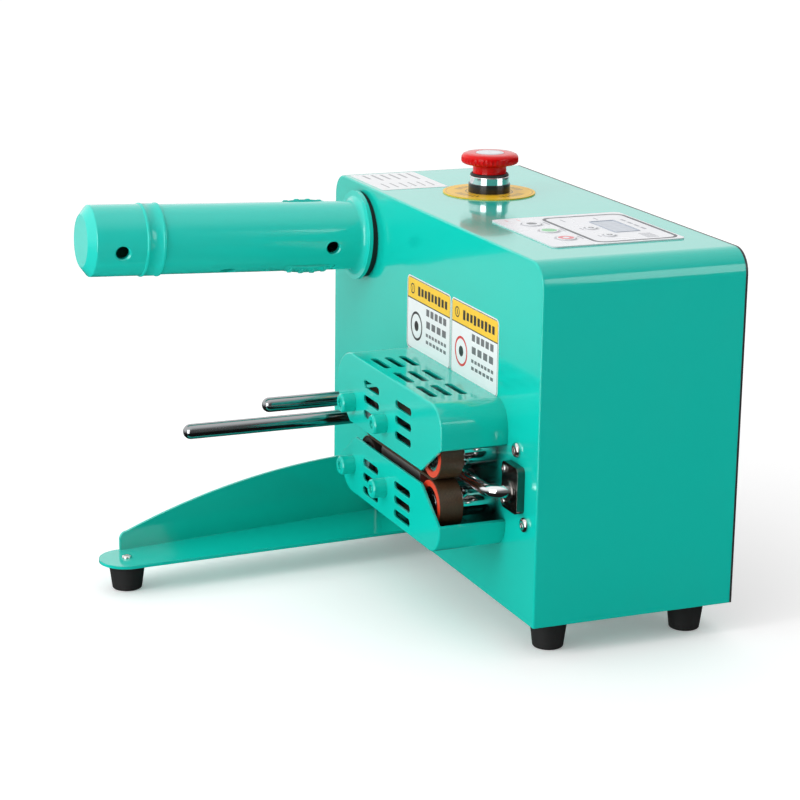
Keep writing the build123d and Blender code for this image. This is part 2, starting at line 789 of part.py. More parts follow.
def heater_spring():
    """Bowed leaf between the stud above and the upper heated bar."""
    low = nip_z + belt_gap / 2 + belt_thickness + heater_gap + heater_height
    top = upper_stud_z - stud_radius
    middle = stud_places[1]
    left = middle - heater_spring_reach
    right = middle + heater_spring_reach
    with BuildSketch() as leaf:
        with BuildLine():
            outer = ThreePointArc((left, low), (middle, top), (right, low))
            inner = ThreePointArc((left + 3, low), (middle, top - heater_spring_sheet), (right - 3, low))
            Line(outer @ 0, inner @ 0)
            Line(outer @ 1, inner @ 1)
        make_face()
    return front_plate(leaf.sketch, belt_front + 3, belt_back - 3)


# ---- covers ------------------------------------------------------------------------------------
def cover_outline(left, rise, left_radius, inset, floor):
    """Cover seen from the front, as heights above the nip; floor None keeps the slanted ends."""
    x0 = left + inset
    x1 = cover_right - inset
    top = rise - inset
    r0 = left_radius - inset
    r1 = cover_right_radius - inset
    with BuildSketch() as sketch:
        with BuildLine():
            if floor is None:
                Line((x0 + cover_foot_left, cover_gap_half), (x0, cover_cut_rise))
                Line((x0, cover_cut_rise), (x0, top - r0))
            else:
                Line((x0, floor), (x0, top - r0))
            RadiusArc((x0, top - r0), (x0 + r0, top), r0)
            Line((x0 + r0, top), (x1 - r1, top))
            RadiusArc((x1 - r1, top), (x1, top - r1), r1)
            if floor is None:
                Line((x1, top - r1), (x1, cover_nose_rise))
                Line((x1, cover_nose_rise), (cover_tip_right, cover_gap_half))
                Line((cover_tip_right, cover_gap_half), (x0 + cover_foot_left, cover_gap_half))
            else:
                Line((x1, top - r1), (x1, floor))
                Line((x1, floor), (x0, floor))
        make_face()
    return sketch.sketch


def cover(left, rise, left_radius, slot_rises, stud_rise):
    """Open-backed sheet cover with rows of cooling slots, built above a nip at height zero."""
    shell = front_plate(cover_outline(left, rise, left_radius, 0, None), -cover_depth, 0)
    inside = cover_outline(left, rise, left_radius, cover_sheet, -10)
    shell -= front_plate(inside, -cover_depth + cover_sheet, 1)
    front_rim = shell.faces().sort_by(Axis.Y)[0].edges().filter_by_position(Axis.Z, cover_nose_rise, rise)
    shell = fillet(front_rim, 1.0)
    for x in slot_columns:
        for z in slot_rises:
            slot = Pos(x, z) * SlotOverall(slot_length, slot_height)
            shell -= front_plate(slot, -cover_depth - 1, -cover_depth + cover_sheet + 1)
    for x in stud_places:
        shell -= bar_y(x, stud_rise, stud_radius + 0.2, -cover_depth - 1, -cover_depth + cover_sheet + 1)
    return shell


def upper_cover():
    """Upper cover, with three columns of slots in its roof as well."""
    shell = cover(upper_cover_left, upper_cover_rise, upper_left_radius, upper_slot_rises, upper_stud_rise)
    for x in top_slot_columns:
        for y in top_slot_rows:
            slot = SlotOverall(top_slot_length, slot_height)
            shell -= Pos(x, y, upper_cover_rise - cover_sheet - 1) * extrude(slot, cover_sheet + 2)
    return Pos(0, 0, nip_z) * shell


def lower_cover():
    """Lower cover: the same folding turned over, a little shorter and shallower."""
    shell = cover(lower_cover_left, lower_cover_rise, lower_left_radius, lower_slot_rises, lower_stud_drop)
    return Pos(0, 0, nip_z) * mirror(shell, Plane.XY)


def stud_positions():
    """The four studs that carry the covers."""
    return [(x, z) for x in stud_places for z in (upper_stud_z, lower_stud_z)]


def cover_studs():
    """Long studs from the drive frame, with a shoulder that the cover's front rests on."""
    studs = []
    for x, z in stud_positions():
        stud = bar_y(x, z, stud_radius, -cover_depth - cap_nut_length + 3, frame_back)
        stud += bar_y(x, z, stud_radius + 1.5, -cover_depth + cover_sheet, belt_front - 1)
        studs.append(stud)
    return group(studs)


def cover_cap_nuts():
    """Round painted nuts with a hexagon socket."""
    nuts = []
    for x, z in stud_positions():
        nut = bar_y(x, z, cap_nut_radius, -cover_depth - cap_nut_length, -cover_depth)
        nut = chamfer(nut.edges().group_by(Axis.Y)[0], 0.9)
        socket = Pos(x, -cover_depth - cap_nut_length, z) * Rot(-90, 0, 0)
        nut -= socket * extrude(RegularPolygon(cap_nut_socket, 6), 1.4)
        nut -= bar_y(x, z, stud_radius, -cover_depth - cap_nut_length + 3, -cover_depth + 1)
        nuts.append(nut)
    return group(nuts)


# ---- air nozzle --------------------------------------------------------------------------------
def nozzle_line(tip_x):
    """Centre line: out of the panel, round a bend and along behind the belts."""
    bend = nozzle_y + nozzle_bend
    with BuildLine() as line:
        Line((nozzle_x, frame_back + 8, nip_z), (nozzle_x, bend, nip_z))
        corner = nozzle_bend * (1 - math.sqrt(0.5))
        ThreePointArc((nozzle_x, bend, nip_z), (nozzle_x - corner, nozzle_y + corner, nip_z),
                      (nozzle_x - nozzle_bend, nozzle_y, nip_z))
        Line((nozzle_x - nozzle_bend, nozzle_y, nip_z), (tip_x, nozzle_y, nip_z))
    return line.line


def air_nozzle():
    """Bright bent air pipe that runs inside the film, closed at its tip, with outlets on its sides."""
    start = Plane(origin=(nozzle_x, frame_back + 8, nip_z), z_dir=(0, -1, 0))
    pipe = sweep(start * Circle(nozzle_radius), path=nozzle_line(nozzle_tip_x))
    bore = sweep(start * Circle(nozzle_bore), path=nozzle_line(nozzle_tip_x + 3))
    cone = Pos(nozzle_tip_x - nozzle_cone / 2, nozzle_y, nip_z) * Rot(0, -90, 0) * Cone(
        nozzle_radius, nozzle_radius * 0.45, nozzle_cone)
    pipe = pipe - bore + cone
    for step in range(4):
        outlet = Pos(nozzle_tip_x + 10 + 9 * step, nozzle_y, nip_z) * Cylinder(1.4, 2 * nozzle_radius + 2)
        pipe -= outlet
    return pipe


def nozzle_block():
    """Clamp plate with a round boss that holds the nozzle on the panel."""
    plate = block(nozzle_block_left, nozzle_block_right, -nozzle_block_depth, 0,
                  nozzle_block_bottom, nozzle_block_top)
    plate = fillet(plate.edges().filter_by(Axis.Y), 3.0)
    boss_front = -nozzle_block_depth - nozzle_boss
    plate += bar_y(nozzle_x, nip_z, nozzle_boss_radius, boss_front, -nozzle_block_depth)
    plate = chamfer(plate.edges().filter_by(GeomType.CIRCLE).group_by(Axis.Y)[0], 0.8)
    plate -= bar_y(nozzle_x, nip_z, nozzle_radius, boss_front - 1, 1)
    for z in (nozzle_block_bottom + block_screw_inset, nozzle_block_top - block_screw_inset):
        plate -= bar_y(block_screw_x, z, block_screw_radius / 2, -nozzle_block_depth - 1, 1)
    return plate


def front_screws():
    """Two large domed screws on the panel and two small ones in the nozzle's clamp plate."""
    screws = []
    turn = Rot(90, 0, 0)
    large = dome_screw(panel_screw_radius, frame_back, panel_screw_radius / 2)
    for x, z in panel_screw_places:
        screws.append(Pos(x, 0, z) * turn * large)
    for z in (nozzle_block_bottom + block_screw_inset, nozzle_block_top - block_screw_inset):
        small = dome_screw(block_screw_radius, nozzle_block_depth + frame_back, block_screw_radius / 2)
        screws.append(Pos(block_screw_x, -nozzle_block_depth, z) * turn * small)
    return group(screws)


def back_screws():
    """Domed screws round the rear plate."""
    turn = Rot(-90, 0, 0)
    screw = dome_screw(back_screw_radius, back_plate, back_screw_radius / 2)
    return group([Pos(x, rear_face, z) * turn * screw for x, z in back_screw_places()])


# ---- gears and motor ---------------------------------------------------------------------------
def gear(teeth, bore, first_tooth):
    """Spur gear with involute flanks; first_tooth is the direction of one tooth in degrees."""
    pitch = gear_module * teeth / 2
    base = pitch * math.cos(math.radians(20))
    tip = pitch + gear_module
    root = pitch - 1.25 * gear_module

    def flank(radius):
        """Involute angle swept from the base circle out to a radius."""
        if radius <= base:
            return 0.0
        spread = math.sqrt((radius / base) ** 2 - 1)
        return spread - math.atan(spread)

    half_tooth = math.pi / (2 * teeth) - gear_backlash / (2 * pitch) + flank(pitch)
    steps = 5
    radii = [base + (tip - base) * i / (steps - 1) for i in range(steps)]
    if root < base:
        radii.insert(0, root)
    points = []
    for tooth in range(teeth):
        centre = math.radians(first_tooth) + 2 * math.pi * tooth / teeth
        for radius in radii:
            angle = centre - half_tooth + flank(radius)
            points.append((radius * math.cos(angle), radius * math.sin(angle)))
        for radius in reversed(radii):
            angle = centre + half_tooth - flank(radius)
            points.append((radius * math.cos(angle), radius * math.sin(angle)))
    with BuildSketch() as sketch:
        with BuildLine():
            Polyline(points, close=True)
        make_face()
        Circle(bore, mode=Mode.SUBTRACT)
    return sketch.sketch


def shaft_gear(z, first_tooth):
    """Gear pressed on a drive shaft, with a hub behind."""
    outline = Pos(drive_x, z) * gear(shaft_gear_teeth, shaft_radius, first_tooth)
    wheel = front_plate(outline, gear_front, gear_front + gear_width)
    hub = bar_y(drive_x, z, shaft_radius + 4, gear_front + gear_width, shaft_rear - 2)
    return wheel + hub - bar_y(drive_x, z, shaft_radius, gear_front + gear_width - 1, shaft_rear + 1)


def motor_pinion():
    """Pinion on the gearmotor's shaft, which it includes."""
    outline = Pos(motor_x, lower_z) * gear(pinion_teeth, motor_shaft_radius, 180 / pinion_teeth)
    wheel = front_plate(outline, gear_front, gear_front + gear_width)
    shaft_back = motor_plate_y + motor_plate + 8
    return wheel + bar_y(motor_x, lower_z, motor_shaft_radius, gear_front - 1, shaft_back)


def gearmotor():
    """Round gearbox and motor, bored for its output shaft."""
    front = motor_plate_y + motor_plate
    box = bar_y(motor_x, lower_z, gearbox_radius, front, front + gearbox_length)
    rear = front + gearbox_length + motor_length
    can = bar_y(motor_x, lower_z, motor_radius, front + gearbox_length, rear)
    can = fillet(can.edges().group_by(Axis.Y)[-1], 2.0)
    tail = bar_y(motor_x, lower_z, 6, rear, rear + 4)
    bore = bar_y(motor_x, lower_z, motor_shaft_radius + running_fit, front - 1, front + 10)
    return box + can + tail - bore


# ---- emergency stop ----------------------------------------------------------------------------
def estop_legend():
    """Flat ring plate under the emergency stop."""
    disc = bar_z(estop_x, estop_y, legend_radius, body_height, body_height + legend_thickness)
    return disc - bar_z(estop_x, estop_y, estop_barrel_radius, body_height - 1, body_height + 2)


def estop_bezel():
    """Black ring and threaded barrel through the top."""
    base = body_height + legend_thickness
    ring = bar_z(estop_x, estop_y, bezel_radius, base, base + bezel_height)
    ring += bar_z(estop_x, estop_y, estop_barrel_radius, body_height - estop_barrel_depth, base)
    ring -= bar_z(estop_x, estop_y, estop_bore, base + 0.8, base + bezel_height + 1)
    bore_low = body_height - estop_barrel_depth - 1
    return ring - bar_z(estop_x, estop_y, estop_stem_radius + fit_gap, bore_low, base + 2)


def estop_collar():
    """Bright ring on top of the bezel."""
    base = body_height + legend_thickness + bezel_height
    ring = bar_z(estop_x, estop_y, collar_radius, base, base + collar_height)
    ring = fillet(ring.edges().group_by(Axis.Z)[-1], 0.8)
    return ring - bar_z(estop_x, estop_y, estop_bore, base - 1, base + collar_height + 1)


def estop_contacts():
    """Switch block and its ring nut under the top."""
    top = body_height - sheet
    nut = bar_z(estop_x, estop_y, estop_nut_radius, top - estop_nut, top)
    nut -= bar_z(estop_x, estop_y, estop_barrel_radius, top - estop_nut - 1, top + 1)
    low = body_height - estop_barrel_depth
    half = estop_block / 2
    bottom = low - estop_block_height
    box = block(estop_x - half, estop_x + half, estop_y - half, estop_y + half, bottom, low)
    box -= bar_z(estop_x, estop_y, estop_stem_radius + fit_gap, bottom + 3, low + 1)
    return group([nut, box])


def estop_stem():
    """Push rod of the emergency stop."""
    top = body_height + estop_neck_top + 2
    return bar_z(estop_x, estop_y, estop_stem_radius, body_height - estop_stem_drop, top)


def estop_head():
    """Mushroom head with its neck, turning on the push rod."""
    neck_low = body_height + legend_thickness + bezel_height
    neck_top = body_height + estop_neck_top
    neck = bar_z(estop_x, estop_y, estop_neck_radius, neck_low, neck_top)
    cap = bar_z(estop_x, estop_y, estop_head_radius, neck_top, neck_top + estop_head_height)
    cap = fillet(cap.edges().group_by(Axis.Z)[-1], 3.0)
    cap = fillet(cap.edges().group_by(Axis.Z)[0], 2.5)
    bore = bar_z(estop_x, estop_y, estop_stem_radius + running_fit, neck_low - 1, neck_top + 2.2)
    return neck + cap - bore


# ---- key panel ---------------------------------------------------------------------------------
def keypad_overlay():
    """Thin printed panel stuck on the top, open where the keys come through."""
    outline = RectangleRounded(pad_right - pad_left, pad_back - pad_front, pad_corner)
    middle = Pos((pad_left + pad_right) / 2, (pad_front + pad_back) / 2, body_height)
    pad = middle * extrude(outline, pad_thickness)
    for x, y, radius in key_places.values():
        pad -= bar_z(x, y, radius + key_slack, body_height - 1, body_height + 2)
    return pad


def key(x, y, radius):
    """Low round key with a plunger down to the switch on the board."""
    low = body_height + key_proud
    top = body_height + pad_thickness + key_proud
    cap = bar_z(x, y, radius, low, top)
    cap = fillet(cap.edges().group_by(Axis.Z)[-1], 0.35)
    return cap + bar_z(x, y, plunger_radius, body_height - plunger_length, low)


def control_board():
    """Circuit board under the key panel, with a switch under each key and a few parts."""
    top = body_height - board_drop
    board = block(pad_left, pad_right, pad_front, pad_back, top - board_sheet, top)
    for x, y, radius in key_places.values():
        board += bar_z(x, y, 3.0, top, body_height - plunger_length - key_travel - 0.2)
    board += block(64, 98, 86, 102, top, top + 5)
    board += block(pad_left + 6, pad_left + 26, 90, 112, top - board_sheet - 14, top - board_sheet)
    board += block(pad_right - 30, pad_right - 10, 40, 70, top - board_sheet - 10, top - board_sheet)
    return board


# ---- electrics and air -------------------------------------------------------------------------
def power_inlet():
    """Flanged inlet socket with the opening for the power switch above it."""
    half_w = inlet_width / 2
    half_h = inlet_height / 2
    flange = block(inlet_x - half_w, inlet_x + half_w, rear_face, rear_face + inlet_flange,
                   inlet_z - half_h, inlet_z + half_h)
    flange = fillet(flange.edges().filter_by(Axis.Y), 3.0)
    inner_w = half_w - 3
    inner_h = half_h - 3
    body = block(inlet_x - inner_w, inlet_x + inner_w, rear_face - inlet_depth, rear_face,
                 inlet_z - inner_h, inlet_z + inner_h)
    module = flange + body
    socket_z = inlet_z - 12
    module -= block(inlet_x - 10, inlet_x + 10, rear_face - 14, rear_face + inlet_flange + 1,
                    socket_z - 8, socket_z + 8)
    for pin in (-6, 0, 6):
        drop = 2 if pin == 0 else -2
        module += block(inlet_x + pin - 1, inlet_x + pin + 1, rear_face - 15, rear_face - 2,
                        socket_z + drop - 2, socket_z + drop + 2)
    half_rw = rocker_width / 2 + rocker_slack
    half_rh = rocker_height / 2 + rocker_slack
    rocker_z = inlet_z + rocker_rise
    module -= block(inlet_x - half_rw, inlet_x + half_rw, rear_face - 16, rear_face + inlet_flange + 1,
                    rocker_z - half_rh, rocker_z + half_rh)
    return module


def power_rocker():
    """Rocker of the power switch, tipped to its off side about a level pin across it."""
    rocker_z = inlet_z + rocker_rise
    pivot = Pos(inlet_x, rear_face + inlet_flange - rocker_radius - 0.2, rocker_z)
    drum = Rot(0, 90, 0) * Cylinder(rocker_radius, rocker_width)
    keep_half = rocker_height / 2 - rocker_trim
    keep = block(-rocker_width, rocker_width, rocker_radius / 3, rocker_radius + 1, -keep_half, keep_half)
    return pivot * Rot(-rocker_angle, 0, 0) * (drum & keep)


def power_supply():
    """Boxed power supply on the tray."""
    low = base_sheet
    x1 = supply_left + supply_width
    box = block(supply_left, x1, 24, 24 + supply_length, low, low + supply_height)
    lid = low + supply_height
    for row in range(6):
        y = 36 + 14 * row
        box -= block(supply_left + 10, x1 - 10, y, y + 4, lid - 1.2, lid + 1)
    return box


def air_pump():
    """Upright round air pump with an outlet spout on its head."""
    low = base_sheet
    can = bar_z(pump_x, pump_y, pump_radius, low, low + pump_length)
    can = fillet(can.edges().group_by(Axis.Z)[-1], 3.0)
    head = bar_z(pump_x, pump_y, pump_radius - 6, low + pump_length, low + pump_length + 14)
    spout = bar_z(pump_x, pump_y, hose_bore, low + pump_length + 14, low + pump_length + 24)
    return can + head + spout


def air_hose():
    """Hose from the pump's spout over to the rear end of the nozzle."""
    spout_top = base_sheet + pump_length + 16
    high = 132.0
    points = [(pump_x, pump_y, spout_top), (pump_x, pump_y, high), (nozzle_x, pump_y, high),
              (nozzle_x, pump_y, nip_z), (nozzle_x, frame_back + 8, nip_z)]
    path = FilletPolyline(points, radius=18)
    start = Plane(origin=points[0], z_dir=(0, 0, 1))
    hose = sweep(start * Circle(hose_radius), path=path)
    return hose - sweep(start * Circle(hose_bore), path=path)


# ---- write every node --------------------------------------------------------------------------
os.makedirs("parts", exist_ok=True)

save("housing_shell", housing_shell())
save("back_panel", back_panel())
save("base_plate", base_plate())
save("rubber_feet", rubber_feet())
save("base_screws", base_screws())
save("support_leg", support_leg())
save("drive_frame", drive_frame())
save("front_screws", front_screws())
save("back_screws", back_screws())
save("arm_spindle", arm_spindle())
save("arm_seat_ring", arm_seat_ring())
save("arm_tube", arm_tube())
save("arm_end_cap", arm_end_cap())
save("ball_bearings", ball_bearings())
save("core_grip_lower", core_grip(arm_row_angle))
save("core_grip_upper", core_grip(arm_row_angle + 180))
save("grip_spring", grip_spring())
save("guide_rod_long", guide_rod(long_rod_x, long_rod_z, long_rod_reach))
save("guide_rod_short", guide_rod(short_rod_x, short_rod_z, short_rod_reach))
save("upper_cover", upper_cover())
save("lower_cover", lower_cover())
save("cover_studs", cover_studs())
save("cover_cap_nuts", cover_cap_nuts())
save("upper_belt", belt(upper_z))
save("lower_belt", belt(lower_z))
save("drive_roller_upper", drive_roller(upper_z))
save("drive_roller_lower", drive_roller(lower_z))
save("idler_roller_upper", idler_roller(upper_z))
save("idler_roller_lower", idler_roller(lower_z))
save("drive_shaft_upper", drive_shaft(upper_z))
save("drive_shaft_lower", drive_shaft(lower_z))
save("drive_sleeves", drive_sleeves())
save("idler_axles", idler_axles())
save("heater_block_upper", heater_block(1))
save("heater_block_lower", heater_block(-1))
save("heater_spring", heater_spring())
save("air_nozzle", air_nozzle())
save("nozzle_block", nozzle_block())
save("shaft_gear_upper", shaft_gear(upper_z, 180 / shaft_gear_teeth))
save("shaft_gear_lower", shaft_gear(lower_z, 0))
save("motor_pinion", motor_pinion())
save("gearmotor", gearmotor())
save("estop_legend", estop_legend())
save("estop_bezel", estop_bezel())
save("estop_collar", estop_collar())
save("estop_contacts", estop_contacts())
save("estop_stem", estop_stem())
save("estop_head", estop_head())
save("keypad_overlay", keypad_overlay())
for name, (x, y, radius) in key_places.items():
    save(name, key(x, y, radius))
save("control_board", control_board())
save("power_inlet", power_inlet())
save("power_rocker", power_rocker())
save("power_supply", power_supply())
save("air_pump", air_pump())
save("air_hose", air_hose())
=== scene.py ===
"""Finishes and small fittings for a benchtop air-cushion machine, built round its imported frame.

Pieces and printed marks are laid out in millimetres. Finishes, lamps and the camera are in metres.
"""
import json
import math

import bpy
import bmesh
from mathutils import Matrix, Vector


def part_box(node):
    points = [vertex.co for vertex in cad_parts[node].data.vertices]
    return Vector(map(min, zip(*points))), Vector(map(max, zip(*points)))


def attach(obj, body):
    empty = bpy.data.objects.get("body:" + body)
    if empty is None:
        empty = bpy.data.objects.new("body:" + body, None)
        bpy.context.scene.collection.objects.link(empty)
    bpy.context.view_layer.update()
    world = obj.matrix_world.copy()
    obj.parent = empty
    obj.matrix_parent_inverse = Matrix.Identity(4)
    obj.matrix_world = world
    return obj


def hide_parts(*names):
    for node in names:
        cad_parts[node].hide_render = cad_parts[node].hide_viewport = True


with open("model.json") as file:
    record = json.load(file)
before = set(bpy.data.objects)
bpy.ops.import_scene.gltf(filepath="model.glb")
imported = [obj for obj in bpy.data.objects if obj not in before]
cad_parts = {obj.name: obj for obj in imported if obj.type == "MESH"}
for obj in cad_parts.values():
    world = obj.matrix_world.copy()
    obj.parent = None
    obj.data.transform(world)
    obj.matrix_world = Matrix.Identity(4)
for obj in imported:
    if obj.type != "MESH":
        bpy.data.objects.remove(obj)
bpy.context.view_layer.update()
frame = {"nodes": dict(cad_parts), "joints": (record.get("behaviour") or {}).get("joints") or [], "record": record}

bl_info = {
    "name": "Air Cushion Machine",
    "version": (1, 0, 0),
    "blender": (4, 5, 0),
    "location": "View3D > Sidebar > Machine",
    "description": "Builds the finishes and small fittings of a benchtop air-cushion machine",
    "category": "Object",
}

MM = 0.001
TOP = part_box("housing_shell")[1].z / MM
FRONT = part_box("housing_shell")[0].y / MM
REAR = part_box("back_panel")[1].y / MM
JOINTS = {joint["name"]: joint for joint in frame["joints"]}
KEYS = ("mode_key", "start_key", "stop_key", "less_key", "more_key")
LEVEL = 0.9     # least upright part of the normal of a face that counts as level

# Nodes that are shown in another finish than the one of their material slot.
OWN_FINISH = {
    # The shell and the covers take the gloss paint with painted shade darkening their recesses.
    "housing_shell": "turquoise_paint_painted_shade",
    "upper_cover": "turquoise_paint_painted_shade",
    "lower_cover": "turquoise_paint_painted_shade",
    "guide_rod_long": "rod_steel",
    "guide_rod_short": "rod_steel",
    "idler_roller_upper": "idler_rubber",
    "idler_roller_lower": "idler_rubber",
    "nozzle_block": "clamp_steel",
    "estop_legend": "legend_plate",
}


# ---- sizes and colours that a user may change ----
def length_property(label, note, metres):
    """Length in metres."""
    return bpy.props.FloatProperty(name=label, description=note, default=metres, unit="LENGTH")


def colour_property(label, note, value):
    """Colour picker with a linear default."""
    return bpy.props.FloatVectorProperty(
        name=label, description=note, default=value, size=3, min=0.0, max=1.0, subtype="COLOR")


class MachineSizes(bpy.types.PropertyGroup):
    """Sizes of the stickers, printed parts and small fittings."""
    sticker_width: length_property("Sticker width", "Width of each sticker on the front", 0.0712)
    sticker_height: length_property("Sticker height", "Height of each sticker on the front", 0.0491)
    sticker_band: length_property("Sticker band", "Height of the coloured band on a sticker", 0.0135)
    sticker_thickness: length_property("Sticker thickness", "Thickness of the sticker film", 0.00015)
    plate_width: length_property("Data plate width", "Width of the data plate on the top", 0.062)
    plate_depth: length_property("Data plate depth", "Depth of the data plate on the top", 0.048)
    belt_sheet: length_property("Belt sheet", "Thickness of the belts' coated glass cloth", 0.0006)
    head_flutes: bpy.props.IntProperty(
        name="Head flutes", description="Number of finger flutes round the emergency stop's head",
        default=40)
    grip_ribs: bpy.props.IntProperty(
        name="Grip ribs", description="Number of moulded ribs on each core grip", default=4)
    camera_lens: bpy.props.FloatProperty(
        name="Camera lens", description="Focal length of the camera, in millimetres", default=107.28)


class MachineColours(bpy.types.PropertyGroup):
    """Base colours of the main finishes."""
    paint: colour_property("Paint", "Gloss paint of the sheet metal", (0.004, 0.56, 0.46))
    plastic: colour_property("Plastic", "Moulded plastic of the roll arm", (0.012, 0.64, 0.54))
    yellow: colour_property("Yellow", "Legend ring and sticker bands", (0.93, 0.58, 0.03))
    red: colour_property("Red", "Head of the emergency stop", (0.74, 0.001, 0.002))
    silicone: colour_property("Silicone", "Silicone tyres of the rollers", (0.72, 0.055, 0.018))
    belt: colour_property("Belt", "Coated glass cloth of the belts", (0.070, 0.034, 0.015))
    film: colour_property("Film", "Printed film of the key panel", (0.80, 0.81, 0.84))
    floor: colour_property("Floor", "Pale floor", (0.90, 0.90, 0.90))


# ---- node helpers ----
def feed(tree, socket, value):
    """Link a socket to a node's output, or set it to a plain value."""
    if isinstance(value, bpy.types.NodeSocket):
        tree.links.new(value, socket)
    else:
        socket.default_value = value


def put(tree, kind, sockets=None, **settings):
    """Add a shader node with its settings, and feed its sockets."""
    node = tree.nodes.new("ShaderNode" + kind)
    for name, value in settings.items():
        setattr(node, name, value)
    for name, value in (sockets or {}).items():
        feed(tree, node.inputs[name], value)
    return node


def calc(tree, operation, *values):
    """Add a math node and return its result."""
    return put(tree, "Math", dict(enumerate(values)), operation=operation).outputs[0]


def wave(tree, value, rate):
    """Sine of a value times a rate."""
    return calc(tree, "SINE", calc(tree, "MULTIPLY", value, rate))


def dot(tree, first, second):
    """How far two directions agree."""
    return put(tree, "VectorMath", {0: first, 1: second}, operation="DOT_PRODUCT").outputs["Value"]


def blend(tree, amount, below, ink):
    """Lay a plain colour over a linked one and return the result."""
    node = put(tree, "Mix", data_type="RGBA")
    factor, lower, upper = (node.inputs[index] for index in (0, 6, 7))
    feed(tree, factor, amount)
    feed(tree, lower, below)
    feed(tree, upper, (*ink, 1.0))
    return node.outputs[2]


def ramp(tree, value, low, high, out_low=0.0, out_high=1.0):
    """Smoothly remap a value from one range to another."""
    sockets = {"Value": value, "From Min": low, "From Max": high, "To Min": out_low, "To Max": out_high}
    return put(tree, "MapRange", sockets, interpolation_type="SMOOTHSTEP").outputs["Result"]


def object_place(tree):
    """Place of each point, in the piece's own coordinates."""
    return put(tree, "TexCoord").outputs["Object"]


def split(tree, vector):
    """The three parts of a vector."""
    return put(tree, "SeparateXYZ", {0: vector}).outputs


def noise(tree, place, scale, **sockets):
    """Cloudy noise at a scale, with any of the node's other sockets."""
    return put(tree, "TexNoise", {"Vector": place, "Scale": scale, **sockets}).outputs[0]


def new_group(name, inputs, outputs):
    """Start a shader node group; inputs are (name, type, default) and outputs are (name, type)."""
    tree = bpy.data.node_groups.new(name, "ShaderNodeTree")
    for label, kind, value in inputs:
        socket = tree.interface.new_socket(label, in_out="INPUT", socket_type="NodeSocket" + kind)
        if value is not None:
            socket.default_value = value
    for label, kind in outputs:
        tree.interface.new_socket(label, in_out="OUTPUT", socket_type="NodeSocket" + kind)
    return tree, tree.nodes.new("NodeGroupInput").outputs, tree.nodes.new("NodeGroupOutput").inputs


def use(tree, group, output, sockets):
    """Place a node group with its own values and return one of its outputs."""
    node = put(tree, "Group")
    node.node_tree = bpy.data.node_groups[group]
    for name, value in sockets.items():
        feed(tree, node.inputs[name], value)
    return node.outputs[output]


# ---- shared effects ----
def edge_wear_group():
    """Thin, broken line of wear along the edges of a piece."""
    tree, given, result = new_group(
        "edge wear", [("Width", "Float", 0.0005), ("Amount", "Float", 0.3), ("Patch", "Float", 90.0)],
        [("Mask", "Float")])
    rounded = put(tree, "Bevel", {"Radius": given["Width"]}, samples=4).outputs[0]
    flat = put(tree, "NewGeometry").outputs["Normal"]
    edge = ramp(tree, dot(tree, rounded, flat), low=0.995, high=0.86)
    patches = noise(tree, object_place(tree), given["Patch"], Detail=4.0)
    broken = ramp(tree, patches, low=0.42, high=0.62)
    worn = calc(tree, "MULTIPLY", edge, broken)
    tree.links.new(calc(tree, "MULTIPLY", worn, given["Amount"]), result["Mask"])


def grain_group():
    """Fine surface relief: an even grain with a slower ripple under it."""
    tree, given, result = new_group(
        "surface grain", [("Scale", "Float", 900.0), ("Ripple", "Float", 0.4)], [("Height", "Float")])
    ripple_scale = calc(tree, "MULTIPLY", given["Scale"], 0.17)
    place = object_place(tree)
    fine = noise(tree, place, given["Scale"], Detail=3.0, Roughness=0.55)
    slow = noise(tree, place, ripple_scale, Detail=1.0)
    tree.links.new(calc(tree, "MULTIPLY_ADD", slow, given["Ripple"], fine), result["Height"])


def tone_group():
    """Slow drift in tone with a few lighter and darker spots."""
    tree, given, result = new_group(
        "tone drift", [("Color", "Color", None), ("Amount", "Float", 0.05), ("Scale", "Float", 9.0)],
        [("Color", "Color")])
    cloud = noise(tree, object_place(tree), given["Scale"], Detail=5.0, Roughness=0.6)
    swing = calc(tree, "SUBTRACT", cloud, 0.5)
    lift = calc(tree, "MULTIPLY_ADD", swing, given["Amount"], 1.0)
    shade = put(tree, "HueSaturation", {"Value": lift, "Color": given["Color"]}).outputs[0]
    tree.links.new(shade, result["Color"])


def handling_group():
    """Roughness with faint wiping marks and finger smears."""
    tree, given, result = new_group(
        "handling marks",
        [("Roughness", "Float", 0.2), ("Amount", "Float", 0.05), ("Scale", "Float", 14.0)],
        [("Roughness", "Float")])
    place = object_place(tree)
    smears = noise(tree, place, given["Scale"], Detail=6.0, Distortion=1.6)
    speck_scale = calc(tree, "MULTIPLY", given["Scale"], 22.0)
    spots = put(tree, "TexVoronoi", {"Vector": place, "Scale": speck_scale}).outputs["Distance"]
    specks = ramp(tree, spots, low=0.14, high=0.04)
    mixed = calc(tree, "MULTIPLY_ADD", specks, 0.5, ramp(tree, smears, low=0.4, high=0.75))
    rough = calc(tree, "MULTIPLY_ADD", mixed, given["Amount"], given["Roughness"])
    tree.links.new(rough, result["Roughness"])


def brushed_group():
    """Fine lines left by turning or brushing along one direction."""
    tree, given, result = new_group(
        "brushed lines", [("Stretch", "Vector", (1.0, 1.0, 1.0)), ("Scale", "Float", 700.0)],
        [("Height", "Float")])
    sockets = {0: object_place(tree), 1: given["Stretch"]}
    squeezed = put(tree, "VectorMath", sockets, operation="MULTIPLY").outputs[0]
    tree.links.new(noise(tree, squeezed, given["Scale"], Detail=2.0), result["Height"])


